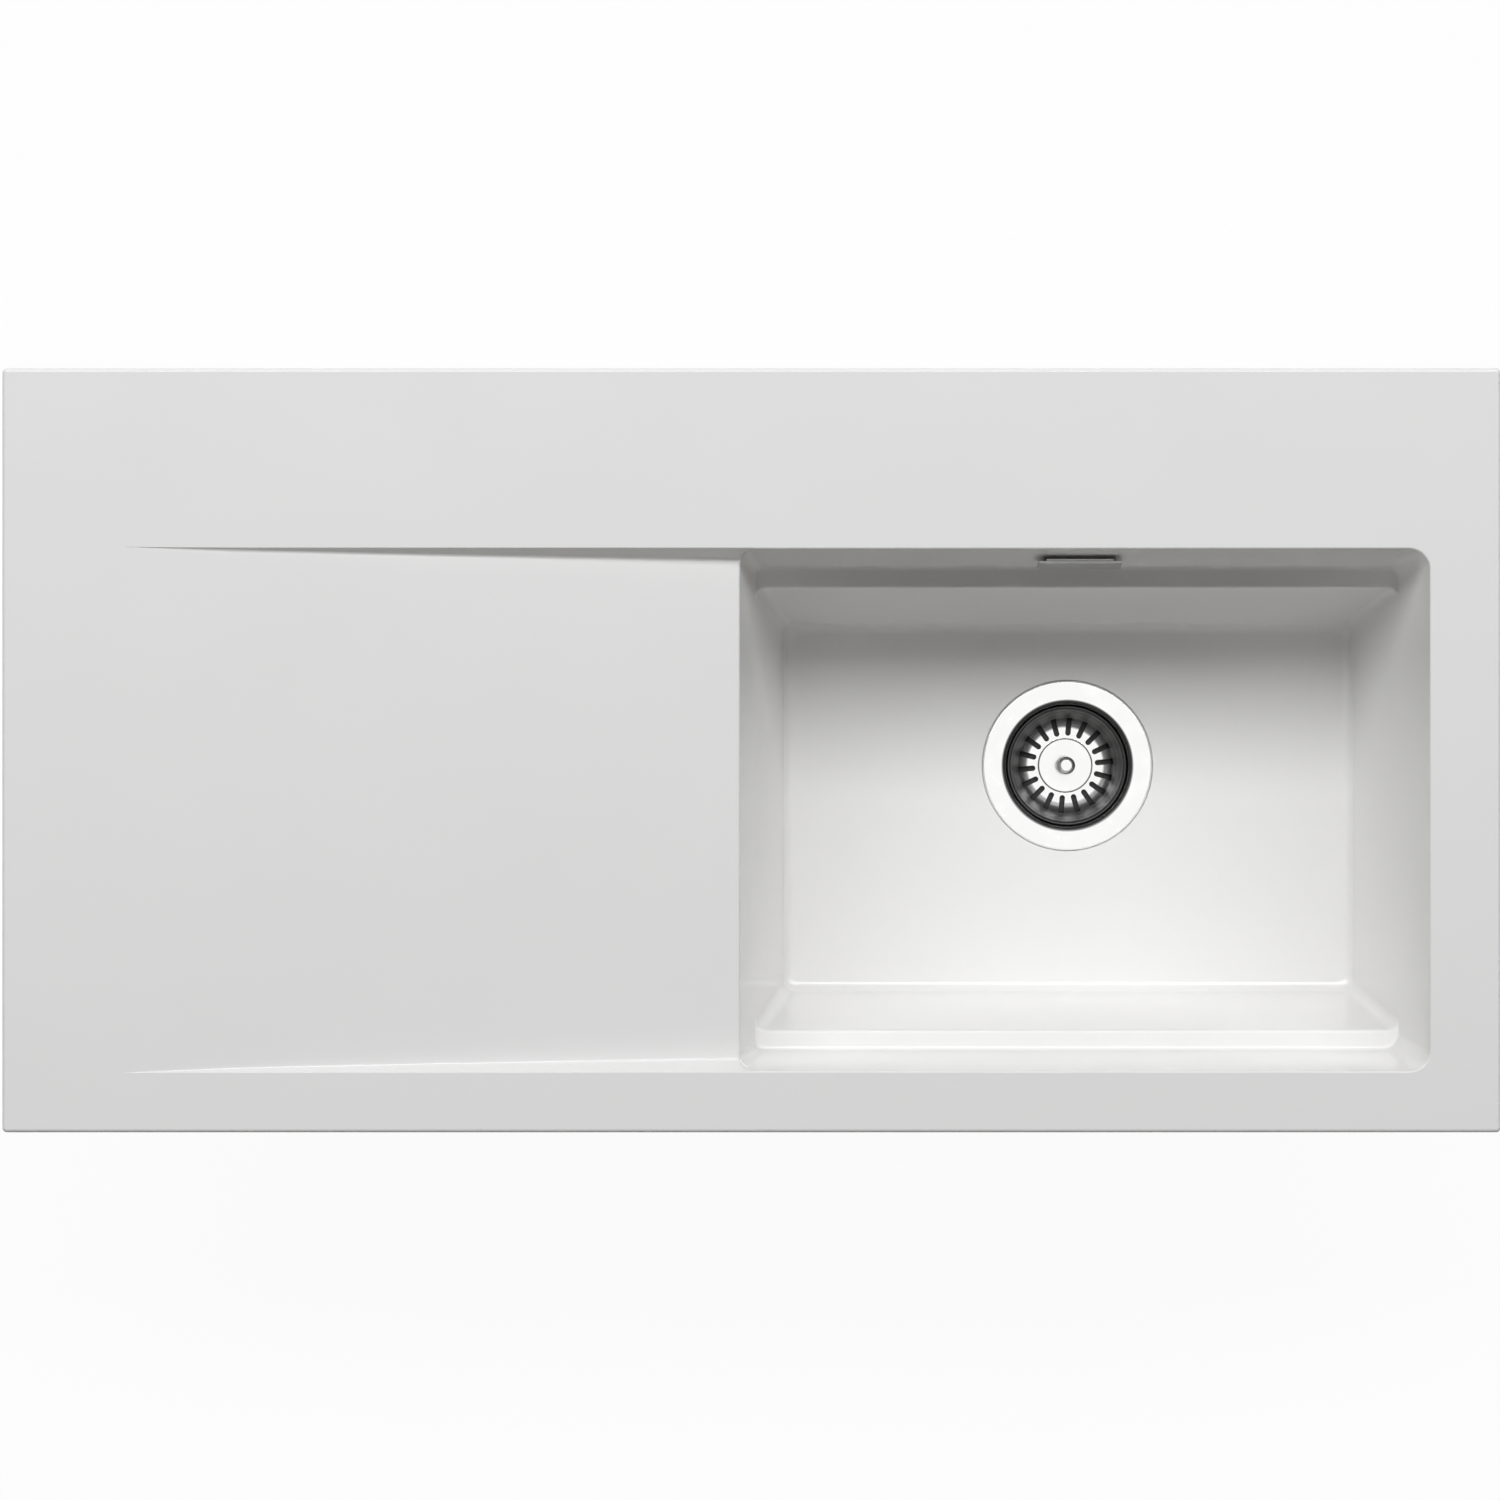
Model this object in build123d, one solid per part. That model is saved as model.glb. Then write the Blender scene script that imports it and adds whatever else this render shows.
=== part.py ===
from build123d import *
import math
import os

# A glazed ceramic kitchen sink with one bowl, a drainboard, a basket strainer waste and an overflow.
# Sizes are in millimetres. The origin is the centre of the rim's plan, on the plane of the worktop.
# +Z is up, +Y is towards the wall behind the sink, and the bowl is on the +X side.
# A depth is always measured down from the top of the rim.

# ---- Rim and decks ----
SINK_LENGTH = 1000.0
SINK_WIDTH = 510.0
RIM_HEIGHT = 12.0
RIM_CORNER_RADIUS = 3.0
RIM_EDGE_RADIUS = 2.6

# ---- Bowl ----
RIGHT_MARGIN = 47.2
FRONT_MARGIN = 41.0
REAR_MARGIN = 120.5
BOWL_LENGTH = 460.8
BOWL_DEPTH = 190.0
WALL_THICKNESS = 11.0
FLOOR_THICKNESS = 12.0
SIDE_DRAFT = 10.1
END_DRAFT = 8.0
LOWER_END_DRAFT = 11.2
OPENING_EDGE_RADIUS = 1.2
RIGHT_CORNER_RADIUS = 14.0
LEFT_CORNER_RADIUS = 9.0
LOWER_CORNER_RADIUS = 8.0
CORNER_TIGHTENING = 0.25
FLOOR_HOLLOW_RADIUS = 6.5
SHELL_CORNER_RADIUS = 22.0
SHELL_HOLLOW_RADIUS = 18.0

# ---- Ledges at the front and rear of the bowl ----
LEDGE_DEPTH = 74.0
LEDGE_WIDTH = 13.5
LEDGE_FALL = 1.2
LEDGE_HOLLOW_RADIUS = 3.0
LEDGE_EDGE_RADIUS = 2.0
LEDGE_SHELL_DROP = 9.0
LEDGE_SHELL_RISE = 16.0

# ---- Drainboard ----
LEFT_MARGIN = 80.0
DRAINBOARD_FALL = 14.0
DRAINBOARD_OUTSET = 1.2
DRAINBOARD_THICKNESS = 11.0
DRAINBOARD_OVERLAP = 1.5
DRAINBOARD_EDGE_RADIUS = 1.0
DRAINBOARD_EDGE_TILT = 55.0
DRAINBOARD_SIDE_TILT = 69.0
DRAINBOARD_HOLLOW_RADIUS = 3.0
DRAINBOARD_STEPS = 12
DRAINBOARD_TIP_TILT = 56.0
DRAINBOARD_TIP_SCALES = (0.02, 0.35, 0.7)

# ---- Underside ----
RIM_OVERLAP = 10.0
CUTOUT_CLEARANCE = 3.0
RIB_WIDTH = 18.0
RIB_DEPTH = 18.0
RIB_CORNER_RADIUS = 12.0
SHOULDER_WIDTH = 25.0
CROSS_RIB_WIDTH = 12.0
CROSS_RIB_PLACES = (-330.0, -190.0)
SEAL_INSET = 3.0
SEAL_WIDTH = 6.0
SEAL_THICKNESS = 1.5
TAP_HOLE_RADIUS = 17.5
TAP_HOLE_SKIN = 3.0
TAP_HOLE_PLACES = (0.0, 110.0)

# ---- Drain in the bowl's floor ----
DRAIN_LEFT_OF_MIDDLE = 1.5
DRAIN_BEHIND_MIDDLE = 29.1
DRAIN_HOLE_RADIUS = 45.0
FLOOR_FALL = 1.0
FLOOR_FALL_RADIUS = 88.0
SEAT_RADIUS = 60.0
SEAT_DEPTH = 2.5
SEAT_TAPER = 0.4

# ---- Strainer cup and its gaskets ----
FLANGE_RADIUS = 59.2
FLANGE_THICKNESS = 1.5
FLANGE_GASKET_THICKNESS = 1.0
FLANGE_GASKET_WIDTH = 10.0
CUP_RADIUS = 43.0
CUP_WALL = 1.2
CUP_LIP_RADIUS = 3.0
CUP_BEND_RADIUS = 8.0
FLANGE_FALL = 0.25
FLANGE_FALL_WIDTH = 1.0
FLANGE_EDGE = 0.4
CUP_STRAIGHT = 13.0
CUP_CONE_RADIUS = 34.0
CUP_DEPTH = 40.0
CUP_HOLLOW = 3.0
CUP_WINDOWS = 6
CUP_WINDOW_INNER = 12.0
CUP_WINDOW_OUTER = 28.0
CUP_SPOKE = 5.0
WASTE_GASKET_THICKNESS = 4.0
WASTE_GASKET_WIDTH = 9.0

# ---- Clamp screw, washer and threaded insert ----
SCREW_RADIUS = 3.0
SCREW_HEAD_RADIUS = 6.0
SCREW_HEAD_HEIGHT = 5.0
SCREW_HEAD_ROUNDING = 1.0
SCREW_POINT = 1.0
SCREW_SLOT_WIDTH = 1.6
SCREW_SLOT_DEPTH = 2.2
SCREW_REACH = 22.0
WASHER_RADIUS = 8.0
WASHER_THICKNESS = 1.0
INSERT_RADIUS = 5.5
INSERT_LENGTH = 16.0
INSERT_DROP = 4.0
INSERT_GROOVES = 3
INSERT_GROOVE_WIDTH = 1.2
INSERT_GROOVE_DEPTH = 0.7

# ---- Waste body ----
BODY_FLANGE_RADIUS = 57.0
BODY_FLANGE_THICKNESS = 5.0
BODY_WALL = 3.4
BODY_CUP_GAP = 2.2
BODY_FILLET = 1.5
BODY_BEND_RADIUS = 20.0
BODY_CONE_ROUNDING = 7.0
BODY_NECK_ROUNDING = 4.0
BODY_STRAIGHT = 14.0
BODY_CONE_DEPTH = 30.0
BODY_CONE_RADIUS = 40.0
BODY_NECK_DEPTH = 10.0
BOSS_RADIUS = 8.5
BOSS_ARMS = 3
BOSS_ARM_WIDTH = 4.0
BOSS_ARM_TURN = 30.0
BOSS_FLOOR = 2.0
OUTLET_RADIUS = 23.9
OUTLET_BORE = 20.0
OUTLET_LENGTH = 28.0
OUTLET_PITCH = 2.309
OUTLET_TURNS = 6
OUTLET_PLAIN_END = 1.0
THREAD_DEPTH = 1.1
THREAD_CREST = 0.56
THREAD_FLANK = 0.16
THREAD_ROOT = 0.12
INLET_REACH = 76.0
INLET_DROP = 32.0
INLET_STOP = 6.0

# ---- Basket ----
BASKET_RIM_RADIUS = 41.7
BASKET_RIM_DROP = 7.5
BASKET_RIM_FALL = 1.5
BASKET_RIM_FLAT = 1.0
BASKET_RIM_EDGE = 0.6
BASKET_RIM_SKIRT = 3.2
BASKET_SHEET = 0.8
BASKET_TOP_RADIUS = 39.2
BASKET_FLOOR_RADIUS = 31.0
BASKET_DEPTH = 24.0
BASKET_HOLLOW = 6.0
BASKET_SLOTS = 18
BASKET_SLOT_WIDTH = 3.8
BASKET_SLOT_INNER = 21.0
BASKET_SLOT_RISE = 6.5
BASKET_SLOT_TURN = 5.0
PLATEAU_RADIUS = 18.8
PLATEAU_RISE = 0.9
PLATEAU_ROUNDING = 0.5
KNOB_RADIUS = 6.2
KNOB_HEIGHT = 17.0
KNOB_WAIST_RADIUS = 3.4
KNOB_FOOT_RADIUS = 5.2
KNOB_FLAT_RADIUS = 3.9
KNOB_FOOT_HEIGHT = 1.6
KNOB_NECK_RISE = 4.0
KNOB_NECK_ROUNDING = 2.0
KNOB_HEAD_HEIGHT = 6.5
KNOB_BAND_LOW = 4.4
KNOB_BAND_HIGH = 1.6
KNOB_ROUNDING = 0.8
KNOB_FLAT_ROUNDING = 0.4
STEM_RADIUS = 2.0
STEM_ENGAGEMENT = 9.0
STEM_CHAMFER = 0.5
CARRIER_HUB_RADIUS = 9.5
CARRIER_RADIUS = 28.0
CARRIER_THICKNESS = 2.0
CARRIER_DROP = 3.4
CARRIER_ROUNDING = 1.0
CARRIER_SKIRT_TAPER = 0.6
PLUG_SEAL_RADIAL = 4.0
PLUG_SEAL_HEIGHT = 4.4
PLUG_SEAL_LIP = 1.4
PLUG_SEAL_BEVEL = 1.0
PLUG_SEAL_GAP = 0.45

# ---- Overflow ----
OVERFLOW_DEPTH = 38.0
OVERFLOW_HOLE_WIDTH = 44.0
OVERFLOW_HOLE_HEIGHT = 16.0
OVERFLOW_HOLE_CORNER = 4.0
PAD_WIDTH = 72.0
PAD_HEIGHT = 42.0
PAD_THICKNESS = 4.0
COVER_WIDTH = 57.0
COVER_HEIGHT = 24.0
COVER_PLATE = 1.2
COVER_CORNER = 2.0
COVER_TRAY_WIDTH = 46.0
COVER_TRAY_HEIGHT = 20.0
COVER_TRAY_DEPTH = 1.9
COVER_WALL = 1.2
COVER_STANDOFF = 2.0
COVER_LEG_LENGTH = 7.0
COVER_LEG_HEIGHT = 6.0
COVER_LEG_THICKNESS = 1.2
INSERT_FRAME_WALL = 1.5
INSERT_FLANGE_LIP = 2.7
INSERT_FLANGE_THICKNESS = 1.0
INSERT_BACK_GAP = 0.5
INSERT_POST_RADIUS = 4.5
INSERT_RIB = 3.0
OVERFLOW_SCREW_RADIUS = 2.5
OVERFLOW_SCREW_HEAD = 4.2
OVERFLOW_SCREW_HEAD_HEIGHT = 2.2
OVERFLOW_SCREW_LENGTH = 36.0
OVERFLOW_SCREW_ROUNDING = 1.2
OVERFLOW_SCREW_POINT = 2.0
OVERFLOW_SCREW_SLOT = 1.2
OVERFLOW_GASKET_THICKNESS = 3.0
OVERFLOW_GASKET_MARGIN = 1.0
HOUSING_FLANGE_WIDTH = 66.0
HOUSING_FLANGE_HEIGHT = 38.0
HOUSING_FLANGE_THICKNESS = 3.0
HOUSING_CORNER = 6.0
HOUSING_WIDTH = 54.0
HOUSING_BOX_HEIGHT = 30.0
HOUSING_DEPTH = 30.0
HOUSING_WALL = 2.5
HOUSING_POST_RADIUS = 5.5
HOUSING_SPIGOT_LENGTH = 22.0

# ---- Overflow hose and its union nuts ----
SPIGOT_RADIUS = 13.0
SPIGOT_BORE = 8.0
SPIGOT_THREAD_LENGTH = 13.0
HOSE_RADIUS = 12.0
HOSE_VALLEY_RADIUS = 10.2
HOSE_BORE = 8.0
HOSE_CUFF_RADIUS = 9.8
HOSE_CUFF_LENGTH = 24.0
HOSE_COLLAR_RADIUS = 12.2
HOSE_COLLAR_THICKNESS = 2.5
HOSE_RIB_PITCH = 4.5
HOSE_RIB_FOOT = 0.15
HOSE_RIB_CREST = 0.3
HOSE_END_RUN = 25.3
HOSE_SEAL_THICKNESS = 2.0
NUT_RADIUS = 16.6
NUT_LENGTH = 19.0
NUT_LIP = 2.5
NUT_MOUTH_ROUNDING = 0.8
NUT_END_ROUNDING = 1.5
NUT_RIBS = 16
NUT_RIB_HEIGHT = 1.0
NUT_RIB_WIDTH = 2.2
NUT_RIB_LENGTH = 14.0

# ---- Clearances, and the steps that a rounding is cut into ----
SLIP = 0.3
SNUG = 0.05
THREAD_SLIP = 0.1
ARC_STEPS = 6
FLOOR_ARC_STEPS = 8

# ---- Places worked out from the sizes above ----
BOWL_RIGHT = SINK_LENGTH / 2 - RIGHT_MARGIN
BOWL_LEFT = BOWL_RIGHT - BOWL_LENGTH
BOWL_FRONT = -SINK_WIDTH / 2 + FRONT_MARGIN
BOWL_REAR = SINK_WIDTH / 2 - REAR_MARGIN
BOWL_MIDDLE = (BOWL_FRONT + BOWL_REAR) / 2
DRAIN_X = (BOWL_LEFT + BOWL_RIGHT) / 2 - DRAIN_LEFT_OF_MIDDLE
DRAIN_Y = BOWL_MIDDLE + DRAIN_BEHIND_MIDDLE
DRAINBOARD_TIP = -SINK_LENGTH / 2 + LEFT_MARGIN
LEDGE_TOP = LEDGE_DEPTH - LEDGE_FALL
FLOOR_Z = RIM_HEIGHT - BOWL_DEPTH
UNDERSIDE_Z = FLOOR_Z - FLOOR_THICKNESS
SEAT_Z = FLOOR_Z - FLOOR_FALL - SEAT_DEPTH
FLANGE_Z = SEAT_Z + FLANGE_GASKET_THICKNESS + FLANGE_THICKNESS
CUP_FLOOR_Z = FLANGE_Z - CUP_DEPTH
BODY_TOP_Z = UNDERSIDE_Z - WASTE_GASKET_THICKNESS
BODY_CONE_Z = BODY_TOP_Z - BODY_STRAIGHT - BODY_CONE_DEPTH
OUTLET_TOP_Z = BODY_CONE_Z - BODY_NECK_DEPTH
OUTLET_END_Z = OUTLET_TOP_Z - OUTLET_LENGTH
HEAD_BASE_Z = CUP_FLOOR_Z + WASHER_THICKNESS
HEAD_TOP_Z = HEAD_BASE_Z + SCREW_HEAD_HEIGHT
INSERT_TOP_Z = CUP_FLOOR_Z - CUP_WALL - INSERT_DROP
BASKET_RIM_Z = FLANGE_Z - BASKET_RIM_DROP
BASKET_FLOOR_Z = BASKET_RIM_Z - BASKET_DEPTH
BASKET_BASE_Z = BASKET_FLOOR_Z - BASKET_SHEET
INLET_Z = BODY_TOP_Z - INLET_DROP
DRAIN = Pos(DRAIN_X, DRAIN_Y, 0)


def tangent(degrees):
    return math.tan(math.radians(degrees))


def arc_run(radius, start, end):
    """How far an arc goes sideways between two tilts, in degrees from level."""
    return radius * (math.sin(math.radians(end)) - math.sin(math.radians(start)))


def arc_drop(radius, start, end):
    """How far an arc falls between two tilts, in degrees from level."""
    return radius * (math.cos(math.radians(start)) - math.cos(math.radians(end)))


# The radius of the drainboard's falling side is what brings it to its full depth at its full tilt.
DRAINBOARD_FALL_RADIUS = (
    DRAINBOARD_FALL
    - arc_drop(DRAINBOARD_EDGE_RADIUS, 0.0, DRAINBOARD_EDGE_TILT)
    - arc_drop(DRAINBOARD_HOLLOW_RADIUS, 0.0, DRAINBOARD_SIDE_TILT)
) / arc_drop(1.0, DRAINBOARD_EDGE_TILT, DRAINBOARD_SIDE_TILT)


def rounding(below_edge, radius):
    """How far a rounded edge stands back from its wall, at a distance below the edge."""
    if below_edge >= radius:
        return 0.0
    rise = radius - max(below_edge, 0.0)
    return radius - math.sqrt(radius**2 - rise**2)


def hollow(above_corner, radius):
    """How far a hollow corner stands out from its wall, at a height above the corner."""
    return rounding(above_corner, radius)


def edge_depths(start, radius, steps=ARC_STEPS):
    """Depths of evenly turned points down a rounded edge that starts at a depth."""
    return [start + radius * (1 - math.cos(math.radians(90 * k / steps))) for k in range(steps + 1)]


def corner_depths(end, radius, steps=ARC_STEPS):
    """Depths of evenly turned points down a hollow corner that ends at a depth."""
    return [end - radius * (1 - math.cos(math.radians(90 - 90 * k / steps))) for k in range(steps + 1)]


OVERFLOW_Y = BOWL_REAR - OVERFLOW_DEPTH * tangent(END_DRAFT)
OVERFLOW_Z = RIM_HEIGHT - OVERFLOW_DEPTH
WALL_NORMAL = Vector(0, -math.cos(math.radians(END_DRAFT)), math.sin(math.radians(END_DRAFT)))
# On this plane x is along the wall, y is up the wall and z is into the bowl.
OVERFLOW_PLANE = Plane(origin=(DRAIN_X, OVERFLOW_Y, OVERFLOW_Z), x_dir=(1, 0, 0), z_dir=WALL_NORMAL)
PAD_BACK = -(WALL_THICKNESS + PAD_THICKNESS)
GASKET_BACK = PAD_BACK - OVERFLOW_GASKET_THICKNESS
HOUSING_BACK = GASKET_BACK - HOUSING_DEPTH
HOUSING_FLANGE_BACK = GASKET_BACK - HOUSING_FLANGE_THICKNESS
SPIGOT_PLACE = OVERFLOW_PLANE.from_local_coords(Vector(0, 0, (HOUSING_FLANGE_BACK + HOUSING_BACK) / 2))
HOSE_Y = SPIGOT_PLACE.Y
HOSE_TOP_Z = SPIGOT_PLACE.Z - HOUSING_BOX_HEIGHT / 2 - HOUSING_SPIGOT_LENGTH
INLET_END_Y = DRAIN_Y + INLET_REACH
HOSE_BEND_RADIUS = HOSE_Y - INLET_END_Y - HOSE_SEAL_THICKNESS - HOSE_END_RUN
# On these planes z runs out of the spigot and along the hose.
UPPER_SPIGOT = Plane(origin=(DRAIN_X, HOSE_Y, HOSE_TOP_Z), x_dir=(1, 0, 0), z_dir=(0, 0, -1))
LOWER_SPIGOT = Plane(origin=(DRAIN_X, INLET_END_Y, INLET_Z), x_dir=(1, 0, 0), z_dir=(0, 1, 0))


# ---- Shared shapes ----
def quarter_arc(x, y, z, radius, start):
    """A quarter circle about a point, from a start angle in degrees, turning to the left."""
    points = []
    for step in (0, 45, 90):
        turn = math.radians(start + step)
        points.append((x + radius * math.cos(turn), y + radius * math.sin(turn), z))
    return Edge.make_three_point_arc(*points)


def outline(left, right, front, rear, left_radius, right_radius, z):
    """A rectangle with rounded corners, at a height."""
    sides = (
        Edge.make_line((right, front + right_radius, z), (right, rear - right_radius, z)),
        quarter_arc(right - right_radius, rear - right_radius, z, right_radius, 0),
        Edge.make_line((right - right_radius, rear, z), (left + left_radius, rear, z)),
        quarter_arc(left + left_radius, rear - left_radius, z, left_radius, 90),
        Edge.make_line((left, rear - left_radius, z), (left, front + left_radius, z)),
        quarter_arc(left + left_radius, front + left_radius, z, left_radius, 180),
        Edge.make_line((left + left_radius, front, z), (right - right_radius, front, z)),
        quarter_arc(right - right_radius, front + right_radius, z, right_radius, 270),
    )
    return Wire(sides)


def slab(left, right, front, rear, radius, low, high):
    """A rounded rectangle between two heights."""
    base = Face(outline(left, right, front, rear, radius, radius, low))
    return Solid.extrude(base, Vector(0, 0, high - low))


def centred_slab(inset, radius, low, high):
    """A slab whose sides stand inside the rim's outline by an inset."""
    half_length = SINK_LENGTH / 2 - inset
    half_width = SINK_WIDTH / 2 - inset
    return slab(-half_length, half_length, -half_width, half_width, radius, low, high)


def tube(outer, inner, low, high):
    """A ring between two heights."""
    ring = Pos(0, 0, low) * (Circle(outer) - Circle(inner))
    return extrude(ring, amount=high - low)


def turned(points):
    """A solid of revolution about Z from points of radius and height. A third value rounds that point."""
    corners = [Vector(p[0], 0, p[1]) for p in points]
    face = Face(Wire.make_polygon(corners, close=True))
    for point, corner in zip(points, corners):
        if len(point) == 3:
            nearest = face.vertices().sort_by_distance(corner)[0]
            face = face.fillet_2d(point[2], [nearest])
    return revolve(face, Axis.Z)


def thread_points(radius, top, pitch, turns):
    """Points down a thread's ridges and grooves, from its top."""
    flank_end = THREAD_CREST + THREAD_FLANK
    root_end = flank_end + THREAD_ROOT
    points = []
    for turn in range(turns):
        crest = top - turn * pitch
        points.append((radius, crest))
        points.append((radius, crest - THREAD_CREST * pitch))
        points.append((radius - THREAD_DEPTH, crest - flank_end * pitch))
        points.append((radius - THREAD_DEPTH, crest - root_end * pitch))
    points.append((radius, top - turns * pitch))
    return points


def plate(width, height, corner, low, high):
    """A rounded plate on the overflow's plane, between two distances from the wall's surface."""
    sketch = Pos(0, 0, low) * RectangleRounded(width, height, corner)
    return OVERFLOW_PLANE * extrude(sketch, amount=high - low)


def bar(width, height, x, y, low, high):
    """A square-edged bar on the overflow's plane, between two distances from the wall's surface."""
    return OVERFLOW_PLANE * extrude(Pos(x, y, low) * Rectangle(width, height), amount=high - low)


def rod(radius, low, high):
    """A round bar on the overflow's plane, between two distances from the wall's surface."""
    return OVERFLOW_PLANE * extrude(Pos(0, 0, low) * Circle(radius), amount=high - low)


# ---- Sink body ----
def side_inset(depth, edge_start):
    """Inset of the left or right wall. Its rounded edge starts at edge_start."""
    below = max(depth - edge_start, 0.0)
    inset = below * tangent(SIDE_DRAFT) - rounding(below, OPENING_EDGE_RADIUS)
    return inset + hollow(BOWL_DEPTH - depth, FLOOR_HOLLOW_RADIUS)


def end_inset(depth):
    """Inset of the front or rear wall, which has a ledge part way down."""
    if depth <= LEDGE_TOP:
        inset = depth * tangent(END_DRAFT) - rounding(depth, OPENING_EDGE_RADIUS)
        return inset + hollow(LEDGE_TOP - depth, LEDGE_HOLLOW_RADIUS)
    below = depth - LEDGE_DEPTH
    inset = LEDGE_DEPTH * tangent(END_DRAFT) + LEDGE_WIDTH + max(below, 0.0) * tangent(LOWER_END_DRAFT)
    inset -= rounding(below, LEDGE_EDGE_RADIUS)
    return inset + hollow(BOWL_DEPTH - depth, FLOOR_HOLLOW_RADIUS)


def corner_radius(depth, rim_radius):
    """Plan radius of the bowl's upright corners at a depth."""
    if depth <= LEDGE_TOP:
        tightening = CORNER_TIGHTENING * depth * tangent(END_DRAFT)
        return rim_radius + rounding(depth, OPENING_EDGE_RADIUS) - tightening
    return LOWER_CORNER_RADIUS - CORNER_TIGHTENING * hollow(BOWL_DEPTH - depth, FLOOR_HOLLOW_RADIUS)


def bowl_section(depth):
    left = BOWL_LEFT + side_inset(depth, DRAINBOARD_FALL)
    right = BOWL_RIGHT - side_inset(depth, 0.0)
    front = BOWL_FRONT + end_inset(depth)
    rear = BOWL_REAR - end_inset(depth)
    left_radius = corner_radius(depth, LEFT_CORNER_RADIUS)
    right_radius = corner_radius(depth, RIGHT_CORNER_RADIUS)
    return outline(left, right, front, rear, left_radius, right_radius, RIM_HEIGHT - depth)


def bowl_hollow():
    """The space inside the bowl, as one loft down through its sections."""
    depths = edge_depths(0.0, OPENING_EDGE_RADIUS)
    depths += edge_depths(DRAINBOARD_FALL, OPENING_EDGE_RADIUS)
    depths += corner_depths(LEDGE_TOP, LEDGE_HOLLOW_RADIUS)
    depths += edge_depths(LEDGE_DEPTH, LEDGE_EDGE_RADIUS)
    depths += corner_depths(BOWL_DEPTH, FLOOR_HOLLOW_RADIUS, FLOOR_ARC_STEPS)
    return Solid.make_loft([bowl_section(depth) for depth in sorted(depths)], ruled=True)


def drainboard_section(x, tilt, scale):
    """The drainboard's section across the sink, where its sides fall to a tilt in degrees.

    Each side turns over a small edge, falls ever steeper and runs into the floor through a small hollow.
    At the tip the whole section is scaled down.
    """
    edge = (BOWL_REAR - BOWL_FRONT) / 2 + DRAINBOARD_OUTSET

    def side_points(side):
        """Points down the side: the edge, the fall and the hollow, each with a point in its middle."""
        y = edge
        z = RIM_HEIGHT
        points = [(x, BOWL_MIDDLE + side * y, z)]
        bends = (
            (DRAINBOARD_EDGE_RADIUS, 0.0, DRAINBOARD_EDGE_TILT),
            (DRAINBOARD_FALL_RADIUS, DRAINBOARD_EDGE_TILT, tilt),
            (DRAINBOARD_HOLLOW_RADIUS, tilt, 0.0),
        )
        for radius, start, end in bends:
            for first, last in ((start, (start + end) / 2), ((start + end) / 2, end)):
                y -= scale * abs(arc_run(radius, first, last))
                z -= scale * abs(arc_drop(radius, first, last))
                points.append((x, BOWL_MIDDLE + side * y, z))
        return points

    rear = side_points(1)
    front = side_points(-1)
    edges = [Edge.make_line(front[0], rear[0])]
    edges += [Edge.make_three_point_arc(*rear[k : k + 3]) for k in (0, 2, 4)]
    edges.append(Edge.make_line(rear[-1], front[-1]))
    edges += [Edge.make_three_point_arc(*reversed(front[k : k + 3])) for k in (4, 2, 0)]
    return Wire(edges)


def drainboard_depth(tilt):
    """How deep the drainboard is where its side ends at a tilt in degrees."""
    depth = arc_drop(DRAINBOARD_EDGE_RADIUS, 0.0, DRAINBOARD_EDGE_TILT)
    depth += arc_drop(DRAINBOARD_FALL_RADIUS, DRAINBOARD_EDGE_TILT, tilt)
    return depth - arc_drop(DRAINBOARD_HOLLOW_RADIUS, tilt, 0.0)


def drainboard_hollow():
    """The shallow tray left of the bowl. Its floor falls in a plane from the tip to the bowl's edge."""
    run = BOWL_LEFT - DRAINBOARD_TIP
    step = (DRAINBOARD_SIDE_TILT - DRAINBOARD_TIP_TILT) / DRAINBOARD_STEPS
    places = [(DRAINBOARD_TIP_TILT, scale) for scale in DRAINBOARD_TIP_SCALES]
    places += [(DRAINBOARD_TIP_TILT + k * step, 1.0) for k in range(DRAINBOARD_STEPS + 1)]
    sections = []
    for tilt, scale in places:
        share = scale * drainboard_depth(tilt) / DRAINBOARD_FALL
        sections.append(drainboard_section(DRAINBOARD_TIP + run * share, tilt, scale))
    end = BOWL_LEFT + LEFT_CORNER_RADIUS + DRAINBOARD_OVERLAP
    sections.append(drainboard_section(end, DRAINBOARD_SIDE_TILT, 1.0))
    return Solid.make_loft(sections, ruled=True)


def shell_section(depth, end_drop):
    """The bowl's outside at a depth. end_drop is how far its front and rear are stepped in."""
    inset = hollow(BOWL_DEPTH + FLOOR_THICKNESS - depth, SHELL_HOLLOW_RADIUS) - WALL_THICKNESS
    left = BOWL_LEFT + max(depth - DRAINBOARD_FALL, 0.0) * tangent(SIDE_DRAFT) + inset
    right = BOWL_RIGHT - depth * tangent(SIDE_DRAFT) - inset
    end = depth * tangent(END_DRAFT) + end_drop + inset
    radius = SHELL_CORNER_RADIUS
    return outline(left, right, BOWL_FRONT + end, BOWL_REAR - end, radius, radius, RIM_HEIGHT - depth)


def bowl_shell():
    """The outside of the bowl, from inside the rim's slab down to its floor's underside."""
    bottom = BOWL_DEPTH + FLOOR_THICKNESS
    step_start = LEDGE_DEPTH + LEDGE_SHELL_DROP
    step_end = step_start + LEDGE_SHELL_RISE
    drafted = (bottom - step_end) * (tangent(LOWER_END_DRAFT) - tangent(END_DRAFT))
    sections = [shell_section(RIM_HEIGHT / 2, 0.0), shell_section(step_start, 0.0)]
    sections.append(shell_section(step_end, LEDGE_WIDTH))
    for depth in corner_depths(bottom, SHELL_HOLLOW_RADIUS):
        share = (depth - step_end) / (bottom - step_end)
        sections.append(shell_section(depth, LEDGE_WIDTH + drafted * share))
    return Solid.make_loft(sections, ruled=True)


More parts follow.
